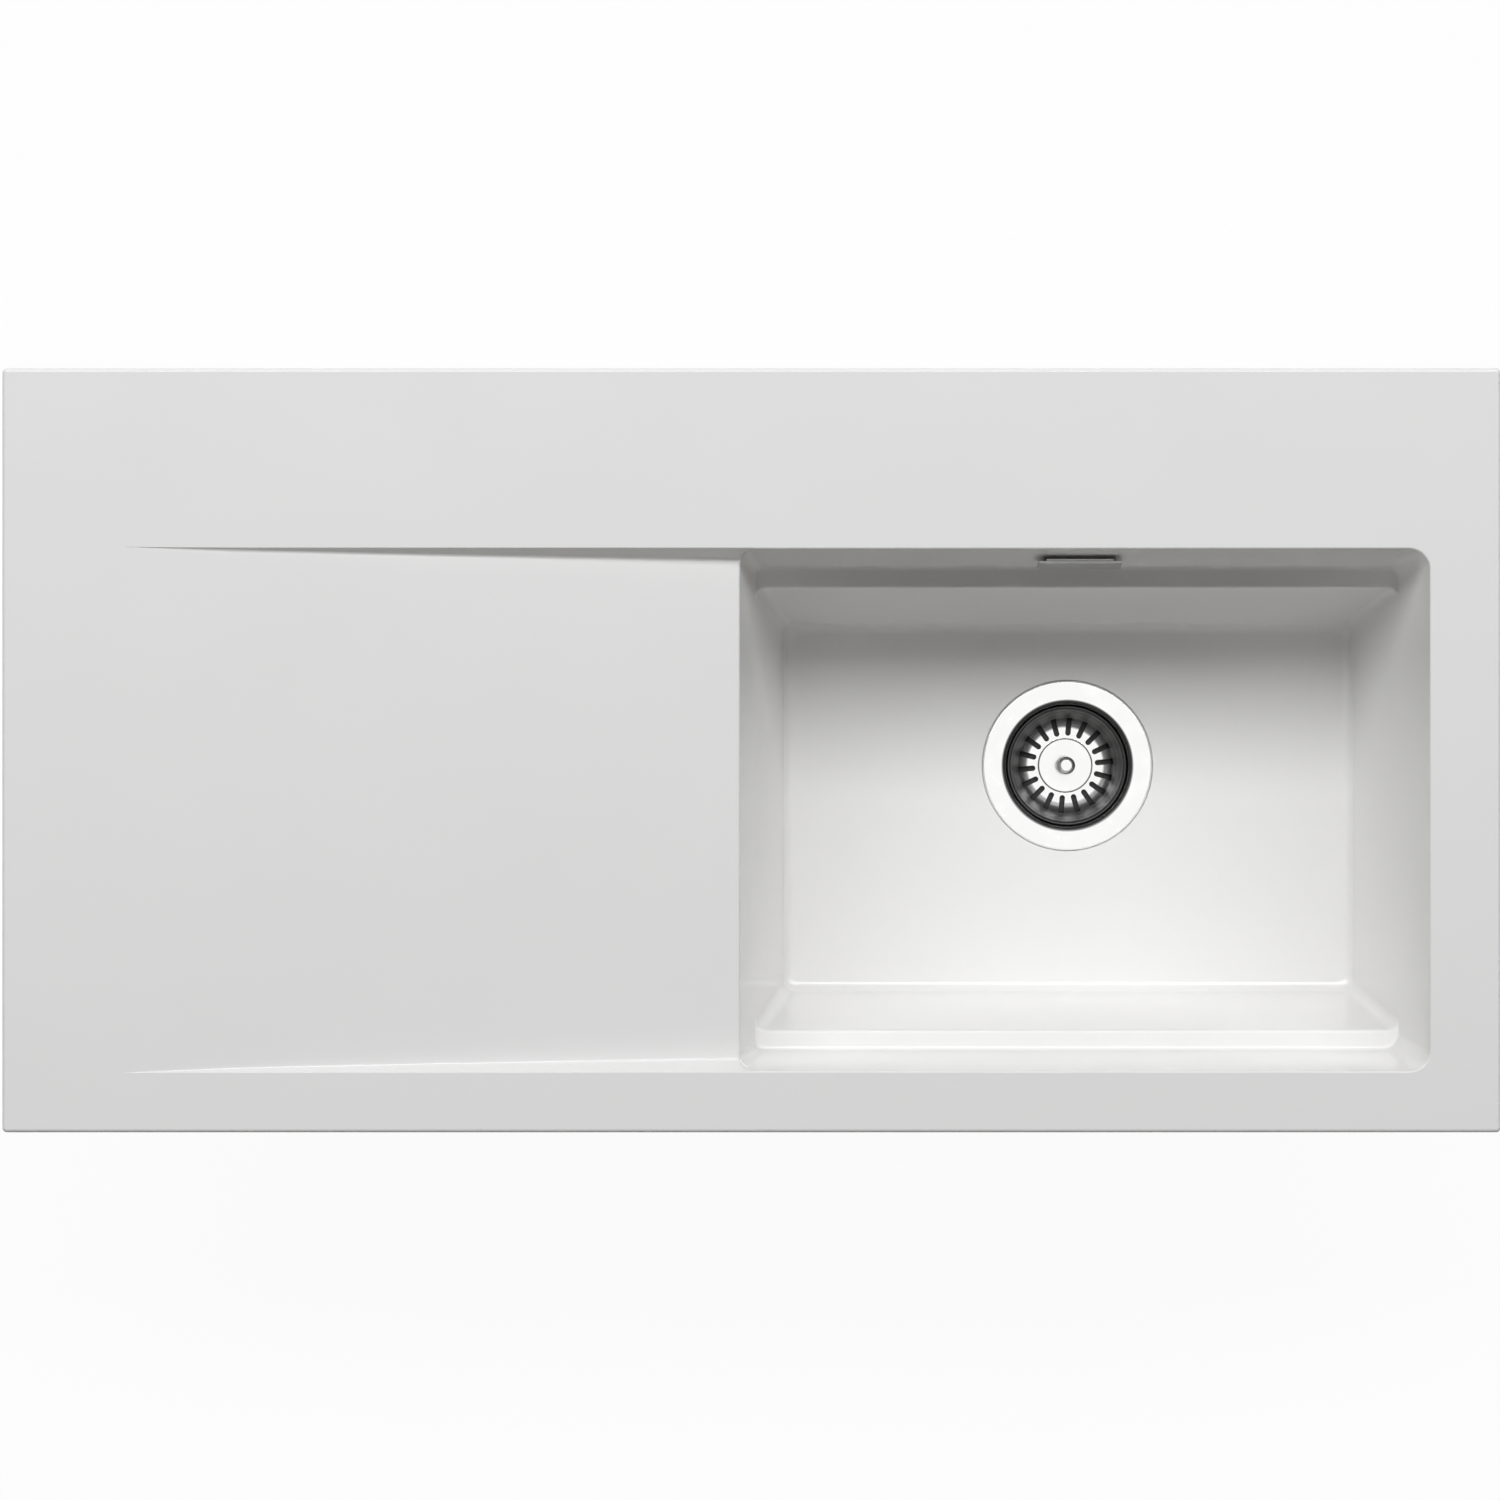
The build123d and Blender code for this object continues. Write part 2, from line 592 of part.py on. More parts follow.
def drainboard_shell():
    """The sloping ceramic under the drainboard's floor."""
    low_end = RIM_HEIGHT - DRAINBOARD_FALL - DRAINBOARD_THICKNESS
    front = BOWL_FRONT - WALL_THICKNESS
    corners = [
        Vector(DRAINBOARD_TIP, front, RIM_HEIGHT - DRAINBOARD_THICKNESS),
        Vector(BOWL_LEFT, front, low_end),
        Vector(BOWL_LEFT, front, RIM_HEIGHT / 2),
        Vector(DRAINBOARD_TIP, front, RIM_HEIGHT / 2),
    ]
    side = Face(Wire.make_polygon(corners, close=True))
    return Solid.extrude(side, Vector(0, BOWL_REAR - BOWL_FRONT + 2 * WALL_THICKNESS, 0))


def rim_slab():
    """The flat rim and decks, with a rounded top edge."""
    block = centred_slab(0.0, RIM_CORNER_RADIUS, 0.0, RIM_HEIGHT)
    top_edges = block.edges().group_by(Axis.Z)[-1]
    return block.fillet(min(RIM_EDGE_RADIUS, RIM_CORNER_RADIUS - SNUG), top_edges)


def underside_ribs():
    """The rib that drops into the worktop's cut-out, the cross ribs and the shoulder round the bowl."""
    inset = RIM_OVERLAP + CUTOUT_CLEARANCE
    ring = centred_slab(inset, RIB_CORNER_RADIUS, -RIB_DEPTH, RIM_HEIGHT / 2)
    ring -= centred_slab(inset + RIB_WIDTH, RIB_CORNER_RADIUS, -RIB_DEPTH, RIM_HEIGHT / 2)
    half_width = SINK_WIDTH / 2 - inset - RIB_WIDTH / 2
    for x in CROSS_RIB_PLACES:
        ring += slab(x, x + CROSS_RIB_WIDTH, -half_width, half_width, 1.0, -RIB_DEPTH, RIM_HEIGHT / 2)
    right = SINK_LENGTH / 2 - inset - RIB_WIDTH / 2
    rear = BOWL_REAR + WALL_THICKNESS
    left = BOWL_LEFT - SHOULDER_WIDTH
    ring += slab(left, right, -half_width, rear, RIB_CORNER_RADIUS, -RIB_DEPTH, RIM_HEIGHT / 2)
    return ring


def seal_ring(low, high):
    """The band under the rim that the sealing strip fills."""
    band = centred_slab(SEAL_INSET, RIM_CORNER_RADIUS, low, high)
    return band - centred_slab(SEAL_INSET + SEAL_WIDTH, RIM_CORNER_RADIUS, low, high)


def drain_seat():
    """The gentle fall, the flange's seat and the hole in the bowl's floor, as one turned cutter."""
    top = FLOOR_Z + BOWL_DEPTH / 4
    points = [
        (0.0, top),
        (FLOOR_FALL_RADIUS, top),
        (FLOOR_FALL_RADIUS, FLOOR_Z),
        (SEAT_RADIUS, FLOOR_Z - FLOOR_FALL),
        (SEAT_RADIUS - SEAT_TAPER, SEAT_Z),
        (DRAIN_HOLE_RADIUS, SEAT_Z),
        (DRAIN_HOLE_RADIUS, UNDERSIDE_Z - FLOOR_THICKNESS),
        (0.0, UNDERSIDE_Z - FLOOR_THICKNESS),
    ]
    return DRAIN * turned(points)


def sink_body():
    body = rim_slab() + underside_ribs() + drainboard_shell() + bowl_shell()
    body += plate(PAD_WIDTH, PAD_HEIGHT, HOUSING_CORNER, PAD_BACK, -WALL_THICKNESS / 2)
    body -= bowl_hollow()
    body -= drainboard_hollow()
    body -= drain_seat()
    body -= plate(
        OVERFLOW_HOLE_WIDTH,
        OVERFLOW_HOLE_HEIGHT,
        OVERFLOW_HOLE_CORNER,
        2 * PAD_BACK,
        WALL_THICKNESS,
    )
    body -= seal_ring(0.0, SEAL_THICKNESS)
    for x in TAP_HOLE_PLACES:
        place = Pos(x, (BOWL_REAR + SINK_WIDTH / 2) / 2, 0)
        body -= place * Cylinder(TAP_HOLE_RADIUS, 2 * (RIM_HEIGHT - TAP_HOLE_SKIN))
    return body


def rim_seal():
    return seal_ring(0.0, SEAL_THICKNESS)


# ---- Basket strainer waste ----
def flange_gasket():
    inner = FLANGE_RADIUS - SNUG - FLANGE_GASKET_WIDTH - 2 * SLIP
    return DRAIN * tube(inner + FLANGE_GASKET_WIDTH, inner, SEAT_Z, SEAT_Z + FLANGE_GASKET_THICKNESS)


def cup_inner_radius(z):
    """The cup's inside radius on its cone, at a height."""
    cone_top = FLANGE_Z - CUP_STRAIGHT
    share = (cone_top - z) / (cone_top - CUP_FLOOR_Z)
    return CUP_RADIUS - (CUP_RADIUS - CUP_CONE_RADIUS) * share


def strainer_cup():
    """The pressed steel cup: a flange on the bowl's floor, a collar, a cone and a pierced floor."""
    under = FLANGE_Z - FLANGE_THICKNESS
    cone_top = FLANGE_Z - CUP_STRAIGHT
    points = [
        (SCREW_RADIUS + SLIP, CUP_FLOOR_Z),
        (CUP_CONE_RADIUS, CUP_FLOOR_Z, CUP_HOLLOW),
        (CUP_RADIUS, cone_top, CUP_BEND_RADIUS),
        (CUP_RADIUS, FLANGE_Z, CUP_LIP_RADIUS),
        (FLANGE_RADIUS - FLANGE_FALL_WIDTH, FLANGE_Z - FLANGE_FALL, FLANGE_FALL_WIDTH / 2),
        (FLANGE_RADIUS, under + FLANGE_EDGE),
        (FLANGE_RADIUS, under),
        (CUP_RADIUS + CUP_WALL, under),
        (CUP_RADIUS + CUP_WALL, cone_top, CUP_BEND_RADIUS),
        (CUP_CONE_RADIUS + CUP_WALL, CUP_FLOOR_Z - CUP_WALL, CUP_HOLLOW + CUP_WALL),
        (SCREW_RADIUS + SLIP, CUP_FLOOR_Z - CUP_WALL),
    ]
    cup = turned(points)
    band = Circle(CUP_WINDOW_OUTER) - Circle(CUP_WINDOW_INNER)
    spoke = Pos(CUP_WINDOW_OUTER, 0) * Rectangle(2 * CUP_WINDOW_OUTER, CUP_SPOKE)
    for k in range(CUP_WINDOWS):
        band -= Rot(0, 0, 360 * k / CUP_WINDOWS) * spoke
    windows = extrude(Pos(0, 0, CUP_FLOOR_Z - 2 * CUP_WALL) * band, amount=4 * CUP_WALL)
    return DRAIN * (cup - windows)


def waste_gasket():
    inner = BODY_FLANGE_RADIUS - WASTE_GASKET_WIDTH - SLIP
    return DRAIN * tube(inner + WASTE_GASKET_WIDTH, inner, BODY_TOP_Z, UNDERSIDE_Z)


def waste_body():
    """The moulded body under the bowl: a clamped flange, a funnel, the overflow's arm and the outlet."""
    flange_under = BODY_TOP_Z - BODY_FLANGE_THICKNESS
    straight_end = BODY_TOP_Z - BODY_STRAIGHT
    inner_top = CUP_RADIUS + CUP_WALL + BODY_CUP_GAP
    outer_top = inner_top + BODY_WALL
    thread_top = OUTLET_END_Z + OUTLET_TURNS * OUTLET_PITCH + OUTLET_PLAIN_END
    outside = [
        (0.0, BODY_TOP_Z),
        (BODY_FLANGE_RADIUS, BODY_TOP_Z),
        (BODY_FLANGE_RADIUS, flange_under),
        (outer_top, flange_under, BODY_FILLET),
        (outer_top, straight_end, BODY_BEND_RADIUS),
        (BODY_CONE_RADIUS + BODY_WALL, BODY_CONE_Z, BODY_CONE_ROUNDING),
        (OUTLET_RADIUS, OUTLET_TOP_Z, BODY_NECK_ROUNDING),
        *thread_points(OUTLET_RADIUS, thread_top, OUTLET_PITCH, OUTLET_TURNS),
        (OUTLET_RADIUS, OUTLET_END_Z),
        (0.0, OUTLET_END_Z),
    ]
    inside = [
        (0.0, BODY_TOP_Z),
        (inner_top, BODY_TOP_Z),
        (inner_top, straight_end, BODY_BEND_RADIUS),
        (BODY_CONE_RADIUS, BODY_CONE_Z, BODY_CONE_ROUNDING),
        (OUTLET_BORE, OUTLET_TOP_Z, BODY_NECK_ROUNDING),
        (OUTLET_BORE, OUTLET_END_Z),
        (0.0, OUTLET_END_Z),
    ]
    arm = DRAIN.inverse() * spigot(LOWER_SPIGOT, INLET_REACH)
    whole = turned(outside) + arm
    body = (whole - turned(inside) + insert_boss()) & whole
    inlet_length = INLET_REACH - BOSS_RADIUS - INLET_STOP
    return DRAIN * body - spigot_bore(LOWER_SPIGOT, inlet_length)


def insert_boss():
    """The boss that holds the threaded insert in the waste body's middle, and its arms."""
    base = INSERT_TOP_Z - INSERT_LENGTH
    end = base - BOSS_FLOOR
    boss = tube(BOSS_RADIUS, INSERT_RADIUS + SNUG, base, INSERT_TOP_Z)
    boss += tube(BOSS_RADIUS, SCREW_RADIUS + THREAD_SLIP, end, base)
    beam = Pos((BOSS_RADIUS + INSERT_RADIUS + SNUG) / 2, 0, end) * Box(
        BODY_CONE_RADIUS,
        BOSS_ARM_WIDTH,
        INSERT_TOP_Z - end,
        align=(Align.MIN, Align.CENTER, Align.MIN),
    )
    for k in range(BOSS_ARMS):
        boss += Rot(0, 0, BOSS_ARM_TURN + 360 * k / BOSS_ARMS) * beam
    return boss


def waste_insert():
    """The brass insert that the clamp screw threads into, with grooves that key it in its boss."""
    base = INSERT_TOP_Z - INSERT_LENGTH
    points = [(SCREW_RADIUS + SNUG, INSERT_TOP_Z), (INSERT_RADIUS, INSERT_TOP_Z)]
    pitch = INSERT_LENGTH / (INSERT_GROOVES + 1)
    for k in range(1, INSERT_GROOVES + 1):
        high = INSERT_TOP_Z - k * pitch + INSERT_GROOVE_WIDTH / 2
        low = high - INSERT_GROOVE_WIDTH
        points += [(INSERT_RADIUS, high), (INSERT_RADIUS - INSERT_GROOVE_DEPTH, high)]
        points += [(INSERT_RADIUS - INSERT_GROOVE_DEPTH, low), (INSERT_RADIUS, low)]
    points += [(INSERT_RADIUS, base), (SCREW_RADIUS + SNUG, base)]
    return DRAIN * turned(points)


def clamp_washer():
    return DRAIN * tube(WASHER_RADIUS, SCREW_RADIUS + SLIP, CUP_FLOOR_Z, HEAD_BASE_Z)


def clamp_screw():
    """The long screw that draws the cup and the waste body together through the bowl's floor."""
    end = INSERT_TOP_Z - SCREW_REACH + INSERT_DROP
    points = [
        (0.0, HEAD_TOP_Z),
        (SCREW_HEAD_RADIUS, HEAD_TOP_Z, SCREW_HEAD_ROUNDING),
        (SCREW_HEAD_RADIUS, HEAD_BASE_Z),
        (SCREW_RADIUS, HEAD_BASE_Z),
        (SCREW_RADIUS, end + SCREW_POINT),
        (SCREW_RADIUS - SCREW_POINT, end),
        (0.0, end),
    ]
    slot = Pos(0, 0, HEAD_TOP_Z) * Box(3 * SCREW_HEAD_RADIUS, SCREW_SLOT_WIDTH, 2 * SCREW_SLOT_DEPTH)
    return DRAIN * (turned(points) - slot)


# ---- Basket ----
def strainer_basket():
    """The pressed basket: a beaded rim, a slotted wall and floor, and a raised middle for the knob."""
    floor = BASKET_FLOOR_Z
    under = BASKET_BASE_Z
    rim = BASKET_RIM_Z
    plateau = floor + PLATEAU_RISE
    wall_top = rim - BASKET_RIM_FALL
    skirt_end = rim - BASKET_RIM_SKIRT
    skirt_inside = BASKET_RIM_RADIUS - BASKET_SHEET
    points = [
        (STEM_RADIUS + SNUG, plateau),
        (PLATEAU_RADIUS, plateau, PLATEAU_ROUNDING),
        (PLATEAU_RADIUS + PLATEAU_RISE / 2, floor, PLATEAU_ROUNDING / 2),
        (BASKET_FLOOR_RADIUS, floor, BASKET_HOLLOW),
        (BASKET_TOP_RADIUS, wall_top, BASKET_RIM_FALL),
        (BASKET_RIM_RADIUS - BASKET_RIM_FLAT, rim, BASKET_SHEET),
        (BASKET_RIM_RADIUS, rim - BASKET_RIM_EDGE),
        (BASKET_RIM_RADIUS, skirt_end),
        (skirt_inside, skirt_end),
        (skirt_inside - BASKET_SHEET / 2, wall_top),
        (BASKET_TOP_RADIUS + BASKET_SHEET, wall_top - BASKET_SHEET, BASKET_RIM_EDGE),
        (BASKET_FLOOR_RADIUS + BASKET_SHEET, under, BASKET_HOLLOW + BASKET_SHEET),
        (STEM_RADIUS + SNUG, under),
    ]
    basket = turned(points)
    reach = BASKET_RIM_RADIUS - BASKET_SLOT_INNER
    low = under - BASKET_SHEET
    high = floor + BASKET_SLOT_RISE
    slot = Pos(BASKET_SLOT_INNER + reach, 0, low) * SlotOverall(2 * reach, BASKET_SLOT_WIDTH)
    cut = extrude(slot, amount=high - low)
    slots = Part()
    for k in range(BASKET_SLOTS):
        slots += Rot(0, 0, BASKET_SLOT_TURN + 360 * k / BASKET_SLOTS) * cut
    return DRAIN * (basket - slots)


def basket_knob():
    """The turned knob on the basket's middle, waisted for a finger and thumb."""
    foot = BASKET_FLOOR_Z + PLATEAU_RISE
    top = foot + KNOB_HEIGHT
    bore_end = foot + STEM_ENGAGEMENT
    points = [
        (STEM_RADIUS + SNUG, foot),
        (KNOB_FOOT_RADIUS, foot),
        (KNOB_FOOT_RADIUS, foot + KNOB_FOOT_HEIGHT, KNOB_ROUNDING),
        (KNOB_WAIST_RADIUS, foot + KNOB_NECK_RISE, KNOB_NECK_ROUNDING),
        (KNOB_WAIST_RADIUS, top - KNOB_HEAD_HEIGHT, KNOB_NECK_ROUNDING),
        (KNOB_RADIUS, top - KNOB_BAND_LOW, KNOB_ROUNDING),
        (KNOB_RADIUS, top - KNOB_BAND_HIGH, KNOB_ROUNDING),
        (KNOB_FLAT_RADIUS, top, KNOB_FLAT_ROUNDING),
        (0.0, top),
        (0.0, bore_end + STEM_RADIUS / 2),
        (STEM_RADIUS + SNUG, bore_end),
    ]
    return DRAIN * turned(points)


def socket_top():
    """Height of the roof of the carrier's socket, over the clamp screw's head."""
    return HEAD_TOP_Z + SLIP


def knob_stem():
    """The stud that ties the knob, the basket and the plug carrier together."""
    high = BASKET_FLOOR_Z + PLATEAU_RISE + STEM_ENGAGEMENT - SLIP
    low = socket_top()
    points = [
        (0.0, low),
        (STEM_RADIUS, low),
        (STEM_RADIUS, high - STEM_CHAMFER),
        (STEM_RADIUS - STEM_CHAMFER, high),
        (0.0, high),
    ]
    return DRAIN * turned(points)


def plug_carrier():
    """The moulded disc under the basket. Its socket drops over the clamp screw's head."""
    roof = socket_top()
    disc_top = BASKET_BASE_Z - CARRIER_DROP
    disc_low = disc_top - CARRIER_THICKNESS
    socket = SCREW_HEAD_RADIUS + SLIP
    skirt = HEAD_BASE_Z + SLIP
    points = [
        (STEM_RADIUS + SNUG, BASKET_BASE_Z),
        (CARRIER_HUB_RADIUS, BASKET_BASE_Z),
        (CARRIER_HUB_RADIUS, disc_top, CARRIER_ROUNDING),
        (CARRIER_RADIUS, disc_top),
        (CARRIER_RADIUS, disc_low),
        (CARRIER_HUB_RADIUS, disc_low, CARRIER_ROUNDING),
        (CARRIER_HUB_RADIUS - CARRIER_SKIRT_TAPER, skirt),
        (socket, skirt),
        (socket, roof),
        (STEM_RADIUS + SNUG, roof),
    ]
    return DRAIN * turned(points)


def plug_seal():
    """The rubber ring round the carrier's edge, with a lip towards the cup's cone."""
    disc_top = BASKET_BASE_Z - CARRIER_DROP
    middle = disc_top - CARRIER_THICKNESS / 2
    high = middle + PLUG_SEAL_HEIGHT / 2
    low = middle - PLUG_SEAL_HEIGHT / 2
    inner = CARRIER_RADIUS - PLUG_SEAL_RADIAL / 2
    edge = cup_inner_radius(middle) - PLUG_SEAL_GAP
    points = [
        (inner, high),
        (edge - PLUG_SEAL_LIP - PLUG_SEAL_BEVEL, high),
        (edge, middle + PLUG_SEAL_LIP / 2),
        (edge - PLUG_SEAL_LIP / 4, middle - PLUG_SEAL_LIP / 4),
        (edge - PLUG_SEAL_LIP - PLUG_SEAL_BEVEL, low),
        (inner, low),
        (inner, middle - CARRIER_THICKNESS / 2),
        (CARRIER_RADIUS, middle - CARRIER_THICKNESS / 2),
        (CARRIER_RADIUS, middle + CARRIER_THICKNESS / 2),
        (inner, middle + CARRIER_THICKNESS / 2),
    ]
    return DRAIN * turned(points)


# ---- Overflow ----
def overflow_cover():
    """The cover over the overflow: a front plate, a shallow tray behind it and two spring legs."""
    back = COVER_STANDOFF
    front = back + COVER_TRAY_DEPTH
    cover = plate(COVER_WIDTH, COVER_HEIGHT, COVER_CORNER, front, front + COVER_PLATE)
    cover += plate(COVER_TRAY_WIDTH, COVER_TRAY_HEIGHT, COVER_CORNER, back, front)
    inner_width = COVER_TRAY_WIDTH - 2 * COVER_WALL
    inner_height = COVER_TRAY_HEIGHT - 2 * COVER_WALL
    cover -= plate(inner_width, inner_height, COVER_CORNER - COVER_WALL, back, front)
    frame_inner = OVERFLOW_HOLE_WIDTH / 2 - SLIP - INSERT_FRAME_WALL
    leg_x = frame_inner - SLIP - COVER_LEG_THICKNESS / 2
    for side in (-1, 1):
        cover += bar(COVER_LEG_THICKNESS, COVER_LEG_HEIGHT, side * leg_x, 0, back - COVER_LEG_LENGTH, front)
    return cover


def overflow_insert():
    """The frame in the overflow's hole, with a flange on the wall and a post for the screw."""
    width = OVERFLOW_HOLE_WIDTH - 2 * SLIP
    height = OVERFLOW_HOLE_HEIGHT - 2 * SLIP
    corner = OVERFLOW_HOLE_CORNER - SLIP
    wall = INSERT_FRAME_WALL
    lip = INSERT_FLANGE_LIP
    back = GASKET_BACK + INSERT_BACK_GAP
    front = INSERT_FLANGE_THICKNESS
    frame = plate(width, height, corner, back, front)
    frame += plate(width + 2 * lip, height + 2 * lip, corner + lip, 0.0, front)
    frame -= plate(width - 2 * wall, height - 2 * wall, corner - wall, back, front)
    frame += bar(INSERT_RIB, height - wall, 0, 0, back, front)
    frame += rod(INSERT_POST_RADIUS, back, front)
    return frame - rod(OVERFLOW_SCREW_RADIUS + THREAD_SLIP, back, front)


def overflow_screw():
    """The screw that holds the insert and the housing together through the bowl's wall."""
    head_back = INSERT_FLANGE_THICKNESS
    head = OVERFLOW_SCREW_HEAD_HEIGHT
    points = [
        (0.0, head_back + head),
        (OVERFLOW_SCREW_HEAD, head_back + head, OVERFLOW_SCREW_ROUNDING),
        (OVERFLOW_SCREW_HEAD, head_back),
        (OVERFLOW_SCREW_RADIUS, head_back),
        (OVERFLOW_SCREW_RADIUS, head_back - OVERFLOW_SCREW_LENGTH + OVERFLOW_SCREW_POINT),
        (0.0, head_back - OVERFLOW_SCREW_LENGTH),
    ]
    slot = Pos(0, 0, head_back + head) * Box(OVERFLOW_SCREW_SLOT, 2 * OVERFLOW_SCREW_RADIUS, head)
    cross = slot + Rot(0, 0, 90) * slot
    return OVERFLOW_PLANE * (turned(points) - cross)


def overflow_gasket():
    width = HOUSING_FLANGE_WIDTH - 2 * OVERFLOW_GASKET_MARGIN
    height = HOUSING_FLANGE_HEIGHT - 2 * OVERFLOW_GASKET_MARGIN
    gasket = plate(width, height, HOUSING_CORNER, GASKET_BACK, PAD_BACK)
    return gasket - plate(
        OVERFLOW_HOLE_WIDTH + 2 * SLIP,
        OVERFLOW_HOLE_HEIGHT + 2 * SLIP,
        OVERFLOW_HOLE_CORNER,
        GASKET_BACK,
        PAD_BACK,
    )


def spigot(place, length):
    """A spigot's outside, that long, with a thicker stretch for its nut. It ends at the place's origin."""
    neck = SPIGOT_RADIUS - THREAD_DEPTH
    thick_end = -SPIGOT_THREAD_LENGTH
    points = [
        (0.0, 0.0),
        (neck, 0.0),
        (SPIGOT_RADIUS, -THREAD_DEPTH),
        (SPIGOT_RADIUS, thick_end),
        (neck, thick_end - THREAD_DEPTH),
        (neck, -length),
        (0.0, -length),
    ]
    return place * turned(points)


def spigot_bore(place, length):
    """The bore of a spigot, that long from just outside its end."""
    below = (Align.CENTER, Align.CENTER, Align.MAX)
    return place * Pos(0, 0, 1) * Cylinder(SPIGOT_BORE, length, align=below)


def overflow_housing():
    """The moulded box on the outside of the bowl's wall, with a spigot that points down."""
    back = HOUSING_FLANGE_BACK
    wall = HOUSING_WALL
    housing = plate(HOUSING_FLANGE_WIDTH, HOUSING_FLANGE_HEIGHT, HOUSING_CORNER, back, GASKET_BACK)
    housing += plate(HOUSING_WIDTH, HOUSING_BOX_HEIGHT, HOUSING_CORNER, HOUSING_BACK, back)
    length = HOUSING_SPIGOT_LENGTH + HOUSING_BOX_HEIGHT / 2
    housing += spigot(UPPER_SPIGOT, length)
    housing -= plate(
        HOUSING_WIDTH - 2 * wall,
        HOUSING_BOX_HEIGHT - 2 * wall,
        HOUSING_CORNER - wall,
        HOUSING_BACK + wall,
        GASKET_BACK,
    )
    housing -= spigot_bore(UPPER_SPIGOT, length)
    housing += rod(HOUSING_POST_RADIUS, HOUSING_BACK, GASKET_BACK)
    return housing - rod(OVERFLOW_SCREW_RADIUS + THREAD_SLIP, HOUSING_BACK + wall, GASKET_BACK)


# ---- Overflow hose ----
def hose_seal(place):
    """The flat washer between a spigot and the hose's collar."""
    return place * tube(SPIGOT_RADIUS - THREAD_DEPTH, SPIGOT_BORE + SLIP, 0.0, HOSE_SEAL_THICKNESS)


def hose_nut(place):
    """A union nut: it threads over a spigot, and its lip draws the hose's collar up against the seal."""
    lip_end = HOSE_SEAL_THICKNESS + HOSE_COLLAR_THICKNESS + NUT_LIP
    lip_start = lip_end - NUT_LIP
    start = lip_end - NUT_LENGTH
    points = [
        (SPIGOT_RADIUS + THREAD_SLIP, start),
        (NUT_RADIUS, start, NUT_MOUTH_ROUNDING),
        (NUT_RADIUS, lip_end, NUT_END_ROUNDING),
        (HOSE_CUFF_RADIUS + SLIP, lip_end),
        (HOSE_CUFF_RADIUS + SLIP, lip_start),
        (SPIGOT_RADIUS + THREAD_SLIP, lip_start),
    ]
    nut = turned(points)
    rib = Box(2 * NUT_RIB_HEIGHT, NUT_RIB_WIDTH, NUT_RIB_LENGTH)
    rib = Pos(NUT_RADIUS, 0, start + NUT_LENGTH / 2) * rib
    for k in range(NUT_RIBS):
        nut += Rot(0, 0, 360 * k / NUT_RIBS) * rib
    return place * nut


def hose_path():
    """The hose's centre line, from its collar under the overflow to its collar at the waste body."""
    start = (DRAIN_X, HOSE_Y, HOSE_TOP_Z - HOSE_SEAL_THICKNESS)
    corner = (DRAIN_X, HOSE_Y, INLET_Z)
    end = (DRAIN_X, INLET_END_Y + HOSE_SEAL_THICKNESS, INLET_Z)
    return FilletPolyline(start, corner, end, radius=[HOSE_BEND_RADIUS])


def hose_ring(path, along, radius):
    """A circle across the hose's centre line, at a distance along it."""
    share = along / path.length
    plane = Plane(origin=path @ share, x_dir=(1, 0, 0), z_dir=path % share)
    return Wire.make_circle(radius, plane)


def overflow_hose():
    """The ribbed hose: one bore, a collar and a plain cuff at each end, and ribs along the rest."""
    path = hose_path()
    ribbed = path.length - 2 * HOSE_CUFF_LENGTH
    count = int(ribbed / HOSE_RIB_PITCH)
    pitch = ribbed / count
    rib = (
        (HOSE_RIB_FOOT, HOSE_VALLEY_RADIUS),
        (HOSE_RIB_CREST, HOSE_RADIUS),
        (1 - HOSE_RIB_CREST, HOSE_RADIUS),
        (1 - HOSE_RIB_FOOT, HOSE_VALLEY_RADIUS),
    )
    rings = [hose_ring(path, 0.0, HOSE_CUFF_RADIUS), hose_ring(path, HOSE_CUFF_LENGTH, HOSE_CUFF_RADIUS)]
    for k in range(count):
        start = HOSE_CUFF_LENGTH + k * pitch
        for share, radius in rib:
            rings.append(hose_ring(path, start + share * pitch, radius))
    rings.append(hose_ring(path, path.length - HOSE_CUFF_LENGTH, HOSE_CUFF_RADIUS))
    rings.append(hose_ring(path, path.length, HOSE_CUFF_RADIUS))
    hose = Solid.make_loft(rings, ruled=True)
    for place in (UPPER_SPIGOT, LOWER_SPIGOT):
        low = HOSE_SEAL_THICKNESS
        hose += place * tube(HOSE_COLLAR_RADIUS, HOSE_BORE, low, low + HOSE_COLLAR_THICKNESS)
    section = Plane(origin=path @ 0, x_dir=(1, 0, 0), z_dir=path % 0) * Circle(HOSE_BORE)
    return hose - sweep(section, path=path)


def make_nodes():
    return {
        "sink_body": sink_body(),
        "rim_seal": rim_seal(),
        "flange_gasket": flange_gasket(),
        "strainer_cup": strainer_cup(),
        "waste_gasket": waste_gasket(),
        "waste_body": waste_body(),
        "waste_insert": waste_insert(),
        "clamp_washer": clamp_washer(),
        "clamp_screw": clamp_screw(),
        "strainer_basket": strainer_basket(),
        "basket_knob": basket_knob(),
        "knob_stem": knob_stem(),
        "plug_carrier": plug_carrier(),
        "plug_seal": plug_seal(),
        "overflow_cover": overflow_cover(),
        "overflow_insert": overflow_insert(),
        "overflow_screw": overflow_screw(),
        "overflow_gasket": overflow_gasket(),
        "overflow_housing": overflow_housing(),
        "upper_hose_seal": hose_seal(UPPER_SPIGOT),
        "upper_hose_nut": hose_nut(UPPER_SPIGOT),
        "overflow_hose": overflow_hose(),
        "lower_hose_seal": hose_seal(LOWER_SPIGOT),
        "lower_hose_nut": hose_nut(LOWER_SPIGOT),
    }


os.makedirs("parts", exist_ok=True)
for node, shape in make_nodes().items():
    export_step(shape, f"parts/{node}.step")
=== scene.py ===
"""Dresses the kitchen sink in glaze, steel, plastic and rubber, and sets its floor, lights and camera."""

import math

